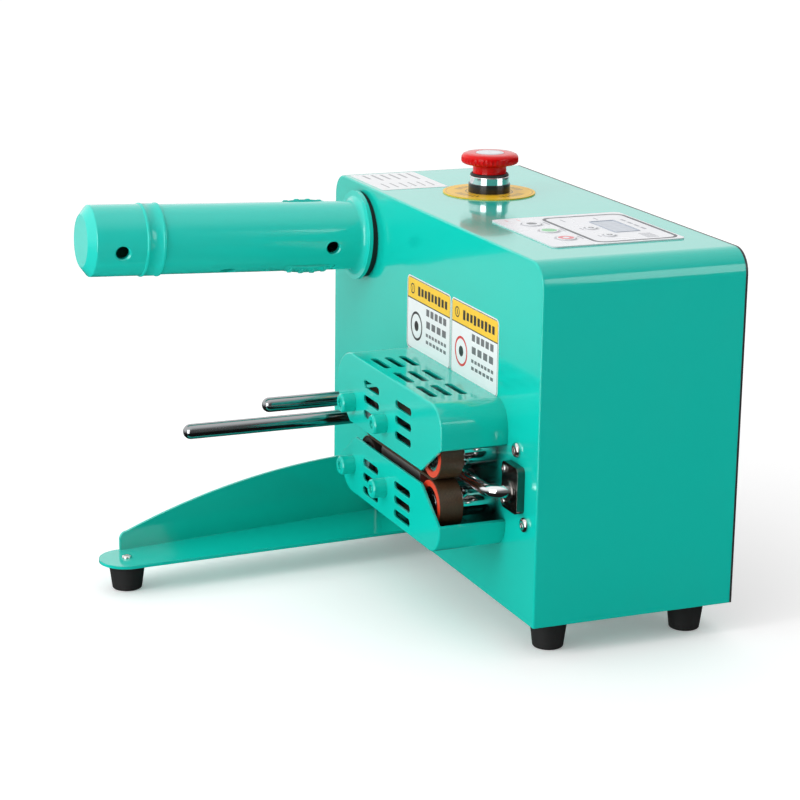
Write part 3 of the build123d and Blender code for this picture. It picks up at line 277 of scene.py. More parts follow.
def printed_box_group():
    """Mask of a printed rectangle with rounded corners."""
    tree, given, result = new_group(
        "printed box",
        [("Across", "Float", 0.0), ("Up", "Float", 0.0), ("Middle", "Vector", (0.0, 0.0, 0.0)),
         ("Half Size", "Vector", (0.01, 0.01, 0.0)), ("Corner", "Float", 0.0)],
        [("Mask", "Float")])
    middle = split(tree, given["Middle"])
    half = split(tree, given["Half Size"])
    outside = []
    for index, axis in enumerate(("Across", "Up")):
        away = calc(tree, "ABSOLUTE", calc(tree, "SUBTRACT", given[axis], middle[index]))
        inner = calc(tree, "SUBTRACT", half[index], given["Corner"])
        outside.append(calc(tree, "SUBTRACT", away, inner))
    beyond = [calc(tree, "POWER", calc(tree, "MAXIMUM", value, 0.0), 2.0) for value in outside]
    distance = calc(tree, "SQRT", calc(tree, "ADD", *beyond))
    inside = calc(tree, "MINIMUM", calc(tree, "MAXIMUM", *outside), 0.0)
    edge = calc(tree, "SUBTRACT", calc(tree, "ADD", distance, inside), given["Corner"])
    tree.links.new(calc(tree, "LESS_THAN", edge, 0.0), result["Mask"])


def printed_ring_group():
    """Mask of a printed ring or dot, and the angle round it."""
    tree, given, result = new_group(
        "printed ring",
        [("Across", "Float", 0.0), ("Up", "Float", 0.0), ("Middle", "Vector", (0.0, 0.0, 0.0)),
         ("Inner", "Float", 0.0), ("Outer", "Float", 0.01)],
        [("Mask", "Float"), ("Angle", "Float")])
    middle = split(tree, given["Middle"])
    across = calc(tree, "SUBTRACT", given["Across"], middle[0])
    up = calc(tree, "SUBTRACT", given["Up"], middle[1])
    squares = calc(tree, "ADD", calc(tree, "POWER", across, 2.0), calc(tree, "POWER", up, 2.0))
    radius = calc(tree, "SQRT", squares)
    inside = calc(tree, "LESS_THAN", radius, given["Outer"])
    outside = calc(tree, "GREATER_THAN", radius, given["Inner"])
    tree.links.new(calc(tree, "MULTIPLY", inside, outside), result["Mask"])
    tree.links.new(calc(tree, "ARCTAN2", up, across), result["Angle"])


def build_shared_effects():
    """Make every shared node group once."""
    edge_wear_group()
    grain_group()
    tone_group()
    handling_group()
    brushed_group()
    printed_box_group()
    printed_ring_group()


# ---- materials ----
def new_material(name):
    """New material with its node tree and its shader."""
    material = bpy.data.materials.new(name)
    material.use_nodes = True
    return material, material.node_tree, material.node_tree.nodes["Principled BSDF"]


def dress(node, material):
    """Put one material in place of all that an object carries."""
    node.data.materials.clear()
    node.data.materials.append(material)


def finish(name, colour, roughness, metallic=0.0, coat=0.0, coat_roughness=0.03, ior=1.5, drift=0.05,
           smear=0.05, grain=900.0, depth=0.00002, edge=0.0004, wear=0.15, worn=(0.6, 0.62, 0.62),
           brushed=None, transmission=0.0, recess=0.0):
    """Material with tone drift, handling marks, worn and softened edges and a fine relief, and, when a recess
    reach is given, painted shade that darkens its recesses.

    The grain is a noise scale, and the depth of the relief, the edge width and the recess are in metres.
    """
    material, tree, shader = new_material(name)
    base = use(tree, "tone drift", "Color", {"Color": (*colour, 1.0), "Amount": drift})
    base = blend(tree, use(tree, "edge wear", "Mask", {"Width": edge, "Amount": wear}), base, worn)
    # Painted shade: where ambient occlusion within the recess reach finds the surface closed in, the colour is
    # darkened to near black.
    if recess > 0.0:
        openness_for_painted_shade = put(tree, "AmbientOcclusion", {"Distance": recess}, samples=12).outputs["AO"]
        base = blend(tree, ramp(tree, openness_for_painted_shade, low=0.44, high=0.24), base, (0.003, 0.006, 0.006))
    rough = use(tree, "handling marks", "Roughness", {"Roughness": roughness, "Amount": smear})
    if brushed is None:
        height = use(tree, "surface grain", "Height", {"Scale": grain})
    else:
        height = use(tree, "brushed lines", "Height", {"Stretch": brushed, "Scale": grain})
    soft = put(tree, "Bevel", {"Radius": edge}, samples=4).outputs[0]
    bump = put(tree, "Bump", {"Height": height, "Distance": depth, "Strength": 1.0, "Normal": soft})
    for socket, value in (("Base Color", base), ("Roughness", rough), ("Normal", bump.outputs[0]),
                          ("Metallic", metallic), ("Coat Weight", coat), ("IOR", ior),
                          ("Coat Roughness", coat_roughness), ("Transmission Weight", transmission)):
        feed(tree, shader.inputs[socket], value)
    return material


def flat_ink(name, colour, roughness=0.35):
    """Printed ink or film with a faint tooth."""
    return finish(name, colour, roughness, drift=0.04, smear=0.06, grain=1800.0, depth=0.000005,
                  edge=0.0001, wear=0.0)


def bar(middle, half, corner, ink):
    """Printed bar: its middle, half its size and its corner radius, in millimetres."""
    sockets = {"Half Size": (half[0] * MM, half[1] * MM, 0.0), "Corner": corner * MM}
    return "printed box", middle, sockets, ink


def ring(middle, inner, outer, ink):
    """Printed ring, or a dot where the inner radius is nothing, in millimetres."""
    return "printed ring", middle, {"Inner": inner * MM, "Outer": outer * MM}, ink


def spot(place, middle, across="X", up="Y"):
    """Sockets that tell a printed mark how its surface runs and where its middle is."""
    return {"Across": place[across], "Up": place[up], "Middle": (middle[0] * MM, middle[1] * MM, 0.0)}


def base_colour(material):
    """A material's tree, the socket of its base colour, and what feeds that socket."""
    tree = material.node_tree
    base = tree.nodes["Principled BSDF"].inputs["Base Color"]
    return tree, base, base.links[0].from_socket


def printed(material, marks, across="X", up="Y"):
    """Print marks over a material's colour, one over the other."""
    tree, base, colour = base_colour(material)
    place = split(tree, object_place(tree))
    for group, middle, size, ink in marks:
        mask = use(tree, group, "Mask", {**spot(place, middle, across, up), **size})
        colour = blend(tree, mask, colour, ink)
    tree.links.new(colour, base)
    return material


def node_finishes(colours):
    """Finish of each material slot that a node may carry, and of the nodes with one of their own."""
    paint = dict(
        colour=tuple(colours.paint), roughness=0.12, coat=0.4, coat_roughness=0.02, ior=1.45, drift=0.04,
        smear=0.04, grain=620.0, depth=0.000008, edge=0.0006, wear=0.10, worn=(0.30, 0.85, 0.78))
    key = dict(roughness=0.26, grain=1800.0, depth=0.00001, wear=0.1)
    return {
        "turquoise_paint": paint,
        # Gloss paint with painted shade in its recesses, reaching 45 mm.
        "turquoise_paint_painted_shade": dict(paint, recess=0.045),
        "turquoise_plastic": dict(
            colour=tuple(colours.plastic), roughness=0.17, coat=0.4, drift=0.03, smear=0.05, grain=1500.0,
            depth=0.000006, edge=0.0002, wear=0.05, worn=(0.35, 0.85, 0.8)),
        "dark_panel": dict(
            colour=(0.018, 0.019, 0.020), roughness=0.42, drift=0.2, grain=1400.0, depth=0.00004,
            wear=0.35, worn=(0.25, 0.26, 0.26)),
        "black_rubber": dict(
            colour=(0.014, 0.014, 0.014), roughness=0.62, drift=0.35, smear=0.15, grain=1100.0,
            depth=0.00006, edge=0.0006, wear=0.3, worn=(0.07, 0.07, 0.07)),
        "idler_rubber": dict(
            colour=(0.020, 0.014, 0.012), roughness=0.45, drift=0.2, depth=0.00003,
            worn=(0.09, 0.06, 0.05)),
        "screw_steel": dict(
            colour=(0.72, 0.71, 0.69), roughness=0.13, metallic=1.0, drift=0.12, grain=1300.0,
            depth=0.00001, edge=0.0003, wear=0.2, worn=(0.9, 0.9, 0.88)),
        "zinc_steel": dict(
            colour=(0.42, 0.43, 0.44), roughness=0.34, metallic=1.0, drift=0.25, smear=0.15, grain=420.0,
            wear=0.3, worn=(0.75, 0.75, 0.74)),
        "clamp_steel": dict(
            colour=(0.16, 0.15, 0.14), roughness=0.24, metallic=1.0, drift=0.3, grain=500.0,
            depth=0.00003, wear=0.5, worn=(0.6, 0.58, 0.55)),
        "chrome": dict(
            colour=(0.80, 0.81, 0.82), roughness=0.06, metallic=1.0, smear=0.04, depth=0.000003,
            brushed=(1.0, 0.05, 1.0), edge=0.0003, wear=0.0),
        "rod_steel": dict(
            colour=(0.36, 0.37, 0.38), roughness=0.12, metallic=1.0, drift=0.08, depth=0.000004,
            brushed=(1.0, 0.05, 1.0), edge=0.0003, wear=0.0),
        "bearing_steel": dict(
            colour=(0.62, 0.62, 0.62), roughness=0.2, metallic=1.0, grain=1300.0, depth=0.00001,
            wear=0.2),
        "spring_steel": dict(
            colour=(0.35, 0.36, 0.38), roughness=0.28, metallic=1.0, drift=0.2, depth=0.00001,
            brushed=(1.0, 0.08, 1.0)),
        "ptfe_belt": dict(colour=tuple(colours.belt), roughness=0.4, depth=0.00004),
        "orange_silicone": dict(
            colour=tuple(colours.silicone), roughness=0.33, drift=0.15, smear=0.1, grain=800.0,
            depth=0.00003, wear=0.2, worn=(0.85, 0.25, 0.14)),
        "hub_aluminium": dict(
            colour=(0.74, 0.75, 0.76), roughness=0.22, metallic=1.0, drift=0.1, depth=0.000015,
            brushed=(1.0, 0.1, 1.0), wear=0.2),
        "heater_aluminium": dict(
            colour=(0.40, 0.38, 0.36), roughness=0.4, metallic=1.0, drift=0.3, grain=700.0,
            brushed=(0.05, 1.0, 1.0), wear=0.3),
        "gear_brass": dict(
            colour=(0.70, 0.46, 0.16), roughness=0.27, metallic=1.0, drift=0.2, depth=0.00001, wear=0.3,
            worn=(0.9, 0.75, 0.45)),
        "motor_can": dict(
            colour=(0.30, 0.31, 0.32), roughness=0.3, metallic=1.0, drift=0.2, depth=0.00001,
            brushed=(1.0, 0.06, 1.0)),
        "yellow_plate": dict(
            colour=tuple(colours.yellow), roughness=0.3, ior=1.3, drift=0.06, depth=0.000005,
            edge=0.0003, wear=0.1, worn=(0.9, 0.8, 0.5)),
        "black_plastic": dict(
            colour=(0.012, 0.012, 0.013), roughness=0.2, drift=0.2, smear=0.08, grain=1600.0,
            depth=0.00001, wear=0.2, worn=(0.08, 0.08, 0.08)),
        "red_plastic": dict(
            colour=tuple(colours.red), roughness=0.16, coat=0.6, drift=0.06, depth=0.000008, wear=0.1,
            worn=(0.9, 0.2, 0.2)),
        "panel_film": dict(
            colour=tuple(colours.film), roughness=0.26, drift=0.03, smear=0.08, grain=1800.0,
            depth=0.00001, edge=0.0002, wear=0.05),
        "green_key": dict(key, colour=(0.10, 0.50, 0.16)),
        "red_key": dict(key, colour=(0.70, 0.05, 0.07)),
        "grey_key": dict(key, colour=(0.07, 0.075, 0.085), roughness=0.28),
        "circuit_board": dict(
            colour=(0.01, 0.12, 0.05), roughness=0.3, drift=0.3, grain=500.0, depth=0.00003),
        "hose_clear": dict(
            colour=(0.78, 0.80, 0.78), roughness=0.12, transmission=0.7, ior=1.42, wear=0.0),
    }


def belt_cloth(colours):
    """Brown coated glass cloth: close warp threads round the belt and finer weft across it, with painted glints of
    lighter brown along fine streaks.
    """
    material = finish("belt_cloth", tuple(colours.belt), 0.36, drift=0.25, smear=0.12, edge=0.0002,
                      wear=0.25, worn=(0.30, 0.17, 0.10))
    tree, base, brown = base_colour(material)
    warp_pitch = 0.9 * MM
    weft_pitch = 0.7 * MM
    streak_scale = 900.0
    squeeze = 6.0
    run = split(tree, put(tree, "UVMap", uv_map="belt_run").outputs[0])
    warp = wave(tree, run["Y"], 2 * math.pi / warp_pitch)
    weft = wave(tree, run["X"], 2 * math.pi / weft_pitch)
    weave = calc(tree, "MULTIPLY_ADD", calc(tree, "MULTIPLY", warp, weft), 0.5, warp)
    squeezed = put(tree, "CombineXYZ", {"X": calc(tree, "MULTIPLY", run["X"], squeeze), "Y": run["Y"]})
    streaks = noise(tree, squeezed.outputs[0], streak_scale, Detail=3.0)
    gaps = ramp(tree, weave, low=-1.2, high=0.4, out_low=0.55, out_high=0.0)
    # Painted highlight: lighter brown glints laid along the squeezed streaks.
    painted_glints = ramp(tree, streaks, low=0.50, high=0.72, out_high=0.6)
    dark = blend(tree, gaps, brown, (0.012, 0.006, 0.004))
    tree.links.new(blend(tree, painted_glints, dark, (0.24, 0.13, 0.055)), base)
    bump = put(tree, "Bump", {"Height": weave, "Distance": 0.00005, "Strength": 0.7})
    tree.links.new(bump.outputs[0], tree.nodes["Principled BSDF"].inputs["Normal"])
    return material


def legend_plate(colours):
    """Yellow ring plate with thin printed rings and short strokes where its words would be."""
    material = finish("legend_plate", tuple(colours.yellow), 0.3, ior=1.28, depth=0.000005, edge=0.0003,
                      wear=0.1, worn=(0.9, 0.8, 0.5))
    middle, radius = seen_from_above("estop_legend")
    printed(material, [ring(middle, radius - 2.2, radius - 1.7, (0.55, 0.33, 0.05)),
                       ring(middle, 15.4, 15.9, (0.05, 0.04, 0.02))])
    tree, base, yellow = base_colour(material)
    strokes_round = 46.0
    words_round = 4.0
    size = {"Inner": 19.5 * MM, "Outer": 24.5 * MM}
    sockets = {**spot(split(tree, object_place(tree)), middle), **size}
    angle = use(tree, "printed ring", "Angle", sockets)
    strokes = calc(tree, "GREATER_THAN", wave(tree, angle, strokes_round), -0.1)
    words = calc(tree, "GREATER_THAN", wave(tree, angle, words_round), -0.35)
    band = use(tree, "printed ring", "Mask", sockets)
    ink = calc(tree, "MULTIPLY", band, calc(tree, "MULTIPLY", strokes, words))
    faded = calc(tree, "MULTIPLY", ink, 0.75)
    tree.links.new(blend(tree, faded, yellow, (0.10, 0.07, 0.03)), base)
    return material


# ---- modelling helpers ----
def seen_from_above(name):
    """Middle of a node seen from above and half its width, in millimetres."""
    low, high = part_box(name)
    return ((low.x + high.x) / 2 / MM, (low.y + high.y) / 2 / MM), (high.x - low.x) / 2 / MM


def clear_selection():
    """Deselect everything, so the next operator acts on its own piece only."""
    if bpy.context.object is not None and bpy.context.object.mode != "OBJECT":
        bpy.ops.object.mode_set(mode="OBJECT")
    bpy.ops.object.select_all(action="DESELECT")


def edit(piece):
    """Open a piece for editing."""
    bpy.context.view_layer.objects.active = piece
    bpy.ops.object.mode_set(mode="EDIT")


def close_edit():
    """Go back from editing a mesh to its object."""
    bpy.ops.object.mode_set(mode="OBJECT")


def select(piece, kind, wanted):
    """Select the faces, edges or vertices of an open piece that pass a test, and nothing else."""
    bpy.ops.mesh.select_mode(type=kind)
    bpy.ops.mesh.select_all(action="DESELECT")
    mesh = bmesh.from_edit_mesh(piece.data)
    every = {"FACE": mesh.faces, "EDGE": mesh.edges, "VERT": mesh.verts}[kind]
    chosen = [part for part in every if wanted(part)]
    if not chosen:
        raise RuntimeError(f"nothing to work on in {piece.name}")
    for part in chosen:
        part.select_set(True)
    bmesh.update_edit_mesh(piece.data)


def raise_by(height):
    """Extrude what is selected straight up, by a height in metres."""
    bpy.ops.mesh.extrude_region_move(TRANSFORM_OT_translate={"value": (0.0, 0.0, height)})


def close_piece(piece, body, material, replaced=(), sharp=35.0):
    """Tidy a piece's mesh, put its place into its mesh, give it its material and hand it to its body."""
    weld = 0.000002
    clear_selection()
    piece.select_set(True)
    bpy.context.view_layer.objects.active = piece
    for modifier in list(piece.modifiers):
        bpy.ops.object.modifier_apply(modifier=modifier.name)
    bpy.ops.object.transform_apply(location=True, rotation=True, scale=True)
    edit(piece)
    bpy.ops.mesh.select_all(action="SELECT")
    bpy.ops.mesh.remove_doubles(threshold=weld)
    bpy.ops.mesh.normals_make_consistent(inside=False)
    close_edit()
    bpy.ops.object.shade_smooth_by_angle(angle=math.radians(sharp))
    dress(piece, material)
    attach(piece, body)
    if replaced:
        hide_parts(*replaced)


def turned(name, middle, profile, segments=96):
    """Piece turned about an upright axis from (radius, height) steps, closed at both ends."""
    clear_selection()
    across, up, base = (value * MM for value in middle)
    radius, height = profile[0]
    bpy.ops.mesh.primitive_circle_add(vertices=segments, radius=radius * MM, fill_type="NGON",
                                      location=(across, up, base + height * MM))
    piece = bpy.context.object
    piece.name = name
    bpy.ops.object.transform_apply(location=True, rotation=False, scale=False)
    edit(piece)
    bpy.ops.mesh.select_mode(type="FACE")
    bpy.ops.mesh.select_all(action="SELECT")
    for next_radius, next_height in profile[1:]:
        raise_by((next_height - height) * MM)
        scale = next_radius / radius
        bpy.ops.transform.resize(value=(scale, scale, 1.0),
                                 center_override=(across, up, base + next_height * MM))
        radius, height = next_radius, next_height
    close_edit()
    return piece


def bore_through(piece):
    """Join the two end faces of a turned piece, which leaves an open ring."""
    wall_corners = 4
    edit(piece)
    select(piece, "FACE", lambda face: len(face.verts) > wall_corners)
    bpy.ops.mesh.bridge_edge_loops()
    close_edit()


def rounded_plate(name, low, high, side, base, thickness, corner):
    """Thin plate with rounded corners, laid on a side of the body between two (across, up) corners."""
    clear_selection()
    bpy.ops.mesh.primitive_plane_add(size=1.0, location=(0.0, 0.0, 0.0))
    piece = bpy.context.object
    piece.name = name
    piece.scale = ((high[0] - low[0]) * MM, (high[1] - low[1]) * MM, 1.0)
    bpy.ops.object.transform_apply(location=False, rotation=False, scale=True)
    edit(piece)
    bpy.ops.mesh.select_mode(type="VERT")
    bpy.ops.mesh.select_all(action="SELECT")
    bpy.ops.mesh.bevel(offset=corner * MM, segments=8, affect="VERTICES")
    bpy.ops.mesh.select_all(action="SELECT")
    raise_by(thickness * MM)
    close_edit()
    across = (low[0] + high[0]) / 2 * MM
    up = (low[1] + high[1]) / 2 * MM
    if side == "top":
        place = Matrix.Translation((across, up, base * MM))
    else:
        tilt = math.radians({"front": 90, "rear": -90}[side])
        place = Matrix.Translation((across, base * MM, up)) @ Matrix.Rotation(tilt, 4, "X")
    piece.data.transform(place)
    return piece


# ---- stage ----
def towards(azimuth, elevation):
    """Direction from the machine, at an angle round it and an angle above the floor, in degrees."""
    turn = math.radians(azimuth)
    lift = math.radians(elevation)
    return Vector((math.sin(turn) * math.cos(lift), -math.cos(turn) * math.cos(lift), math.sin(lift)))


class MACHINE_OT_stage(bpy.types.Operator):
    """Set out the pale floor, the soft lights and the camera"""
    bl_idname = "machine.stage"
    bl_label = "Set the stage"

    def execute(self, context):
        scene = context.scene
        just_below = -0.0002
        clear_selection()
        bpy.ops.mesh.primitive_circle_add(vertices=64, radius=30.0, fill_type="NGON",
                                          location=(0.0, 0.0, just_below))
        floor = context.object
        floor.name = "floor"
        floor.visible_glossy = False
        dress(floor, self.floor_paint(tuple(scene.machine_colours.floor)))
        self.sky(scene)
        self.soft_box("key", towards(10.0, 14.0), power=16.5, size=(0.6, 1.6), glossy=False)
        self.soft_box("fill", towards(138.0, 12.0), power=3.0, size=(0.6, 1.6), glossy=False)
        self.soft_box("left_panel", towards(33.0, 8.0), power=22.0, size=(1.1, 1.7), diffuse=False)
        self.soft_box("right_panel", towards(133.0, 20.0), power=8.0, size=(1.1, 0.8), diffuse=False)
        self.camera(scene)
        scene.view_settings.view_transform = "Standard"
        return {"FINISHED"}

    def floor_paint(self, colour):
        """Matt pale floor with a very faint mottle, a little lifted where the camera sees it."""
        material, tree, shader = new_material("floor_paint")
        sockets = {"Color": (*colour, 1.0), "Amount": 0.012, "Scale": 3.0}
        seen = put(tree, "LightPath").outputs["Is Camera Ray"]
        for socket, value in (("Base Color", use(tree, "tone drift", "Color", sockets)),
                              ("Roughness", 0.95), ("Specular IOR Level", 0.0),
                              ("Emission Color", (1.0, 1.0, 1.0, 1.0)),
                              ("Emission Strength", calc(tree, "MULTIPLY", seen, 0.22))):
            feed(tree, shader.inputs[socket], value)
        return material

    def sky(self, scene):
        """Studio surround: white to the camera, and for light bright above and to the left."""
        world = bpy.data.worlds.new("studio")
        scene.world = world
        world.use_nodes = True
        tree = world.node_tree
        ray = put(tree, "TexCoord").outputs["Generated"]
        bright_side = (-0.55, -0.25, 0.80)
        height = split(tree, ray)["Z"]
        side = ramp(tree, dot(tree, ray, bright_side), low=-0.25, high=0.62, out_low=0.13, out_high=1.10)
        above = ramp(tree, height, low=-0.10, high=0.03)
        below = ramp(tree, height, low=-0.29, high=-0.21, out_low=0.10, out_high=0.50)
        glow = calc(tree, "MULTIPLY", side, calc(tree, "MAXIMUM", above, below))
        seen = put(tree, "LightPath").outputs["Is Camera Ray"]
        background = tree.nodes["Background"]
        background.inputs["Color"].default_value = (1.0, 1.0, 1.0, 1.0)
        tree.links.new(calc(tree, "MAXIMUM", glow, seen), background.inputs["Strength"])

    def soft_box(self, name, direction, power, size, diffuse=True, glossy=True):
        """Large rectangular lamp aimed at the machine's middle, for lighting or for reflections."""
        aim = Vector((0.0, 0.0, 0.12))
        distance = 1.8
        lamp = bpy.data.lights.new(name, "AREA")
        lamp.shape = "RECTANGLE"
        lamp.size, lamp.size_y = size
        lamp.energy = power
        holder = bpy.data.objects.new(name, lamp)
        holder.visible_diffuse = diffuse
        holder.visible_glossy = glossy
        bpy.context.scene.collection.objects.link(holder)
        holder.location = aim + direction * distance
        holder.rotation_euler = direction.to_track_quat("Z", "Y").to_euler()

    def camera(self, scene):
        """Camera from the right and a little above, with a slight roll."""
        place = (1.37829, -0.55635, 0.52217)
        azimuth = 67.433
        elevation = 15.037
        roll = math.radians(0.792)
        camera = bpy.data.cameras.new("camera")
        camera.lens = scene.machine_sizes.camera_lens
        camera.sensor_width = 36.0
        camera.clip_start = 0.05
        holder = bpy.data.objects.new("camera", camera)
        scene.collection.objects.link(holder)
        back = towards(azimuth, elevation)
        right = towards(azimuth + 90.0, 0.0)
        up = back.cross(right)
        across = right * math.cos(roll) + up * math.sin(roll)
        upward = up * math.cos(roll) - right * math.sin(roll)
        turn = Matrix((across, upward, back)).transposed()
        holder.matrix_world = Matrix.Translation(place) @ turn.to_4x4()
        scene.camera = holder


# ---- finishes of the frame's own nodes ----
class MACHINE_OT_finishes(bpy.types.Operator):
    """Give every node of the frame its finish"""
    bl_idname = "machine.finishes"
    bl_label = "Finish the frame"

    def execute(self, context):
        build_shared_effects()
        colours = context.scene.machine_colours
        finishes = node_finishes(colours)
        slots = {part["node"]: part["material_slot"] for part in frame["record"]["subparts"]}
        slots.update(OWN_FINISH)
        made = {"legend_plate": legend_plate(colours)}
        for name, node in frame["nodes"].items():
            slot = slots[name]
            if slot not in made:
                made[slot] = finish(slot, **finishes[slot])
            dress(node, made[slot])
        return {"FINISHED"}


# ---- stickers ----
class MACHINE_OT_stickers(bpy.types.Operator):
    """Stick the two notices on the front and the data plates on the top and the back"""
    bl_idname = "machine.stickers"
    bl_label = "Make the stickers"

    def execute(self, context):
        sizes = context.scene.machine_sizes
        yellow = tuple(context.scene.machine_colours.yellow)
        tints = {"notice_left": (0.015, 0.015, 0.015), "notice_right": (0.70, 0.03, 0.03)}
        first_left = -34.0
        gap = 1.0
        top = TOP - 45.4
        bottom = top - sizes.sticker_height / MM
        width = sizes.sticker_width / MM
        thickness = sizes.sticker_thickness / MM
        for index, (name, tint) in enumerate(tints.items()):
            left = first_left + index * (width + gap)
            low = (left, bottom)
            high = (left + width, top)
            plate = rounded_plate(name, low, high, "front", FRONT, thickness, corner=4)
            film = self.notice(name + "_film", low, high, sizes.sticker_band / MM, yellow, tint)
            close_piece(plate, "root", film)
        self.top_plate(sizes.plate_width / MM, sizes.plate_depth / MM)
        self.back_plate()
        return {"FINISHED"}

    def notice(self, name, low, high, band, yellow, tint):
        """White notice with a black border, a yellow band and plain generic marks."""
        white = (0.84, 0.85, 0.86)
        black = (0.015, 0.015, 0.015)
        left, bottom = low
        right, top = high
        middle = ((left + right) / 2, (bottom + top) / 2)
        across = (right - left) / 2
        up = (top - bottom) / 2
        margin = 0.8
        line = 0.5
        band_margin = 1.4
        band_bottom = top - band_margin - band
        band_middle = top - band_margin - band / 2
        marks = [
            bar(middle, (across - margin, up - margin), 3.2, black),
            bar(middle, (across - margin - line, up - margin - line), 2.8, white),
            bar((middle[0], band_middle), (across - band_margin, band / 2), 0.0, yellow),
            bar((middle[0], band_bottom), (across - margin, 0.35), 0.0, black),
        ]
        marks += self.band_marks(start=left + 9, end=right - 5, up=band_middle)
        ring_middle = (left + 16, (bottom + band_bottom) / 2)
        marks.append(ring(ring_middle, 8.0, 9.6, tint))
        marks.append(ring(ring_middle, 0.0, 3.4, black))
        marks += self.text_bars(start=left + 31, end=right - 6, top=band_bottom - 4.5)
        return printed(flat_ink(name, white, 0.3), marks, "X", "Z")

    def band_marks(self, start, end, up):
        """Dot in a ring and a row of short bars in the coloured band."""
        black = (0.02, 0.02, 0.02)
        count = 9
        first = start + 8
        step = (end - first) / count
        marks = [ring((start, up), 2.6, 3.5, black), bar((start, up), (0.5, 1.7), 0.4, black)]
        for index in range(count):
            tall = 2.6 if index % 3 else 3.1
            marks.append(bar((first + step * (index + 0.5), up), (step * 0.33, tall), 0.4, black))
        return marks

    def text_bars(self, start, end, top):
        """Four rows of grey bars where a notice would have its words."""
        grey = (0.16, 0.16, 0.17)
        marks = []
        for drop, half, count in ((0.0, 2.3, 5), (8.0, 2.3, 4), (15.0, 1.1, 7), (19.6, 1.1, 6)):
            step = (end - start) / count
            for index in range(count):
                across = start + step * (index + 0.5)
                marks.append(bar((across, top - drop), (step * 0.36, half), 0.3, grey))
        return marks

    def top_plate(self, width, depth):
        """White plate on the top, with two columns of plain bars."""
        left = -151
        front = 39
        back = front + depth
        grey = (0.30, 0.31, 0.33)
        low = (left, front)
        high = (left + width, back)
        plate = rounded_plate("data_plate_top", low, high, "top", TOP, thickness=0.15, corner=2)
        marks = []
        for row, length in enumerate((24, 17, 21, 19, 22, 15)):
            up = back - 7 - 6.6 * row
            marks.append(bar((left + 4 + length / 2, up), (length / 2, 1.0), 0.3, grey))
            marks.append(bar((left + 46, up), (8, 0.7), 0.3, grey))
        film = flat_ink("data_plate_film", (0.82, 0.83, 0.85), 0.25)
        close_piece(plate, "root", printed(film, marks))

    def back_plate(self):
        """Silver plate on the back, with a thin frame and two columns of plain bars."""
        low = (-70, 60)
        high = (10, 108)
        middle = (-30, 84)
        rows = 6
        plate = rounded_plate("data_plate_back", low, high, "rear", REAR, thickness=0.3, corner=2)
        marks = [bar(middle, (38.5, 22.5), 1.5, (0.03, 0.03, 0.03)),
                 bar(middle, (38, 22), 1.2, (0.62, 0.63, 0.64))]
        for row in range(rows):
            up = 100 - 6.2 * row
            marks.append(bar((-50, up), (11, 0.8), 0.2, (0.05, 0.05, 0.05)))
            marks.append(bar((-18, up), (18 - 2 * (row % 3), 0.7), 0.2, (0.08, 0.08, 0.08)))
        silver = finish("data_plate_silver", (0.66, 0.67, 0.68), 0.35, metallic=0.6,
                        brushed=(0.04, 1.0, 1.0), depth=0.00001, wear=0.1)
        close_piece(plate, "root", printed(silver, marks, "X", "Z"))


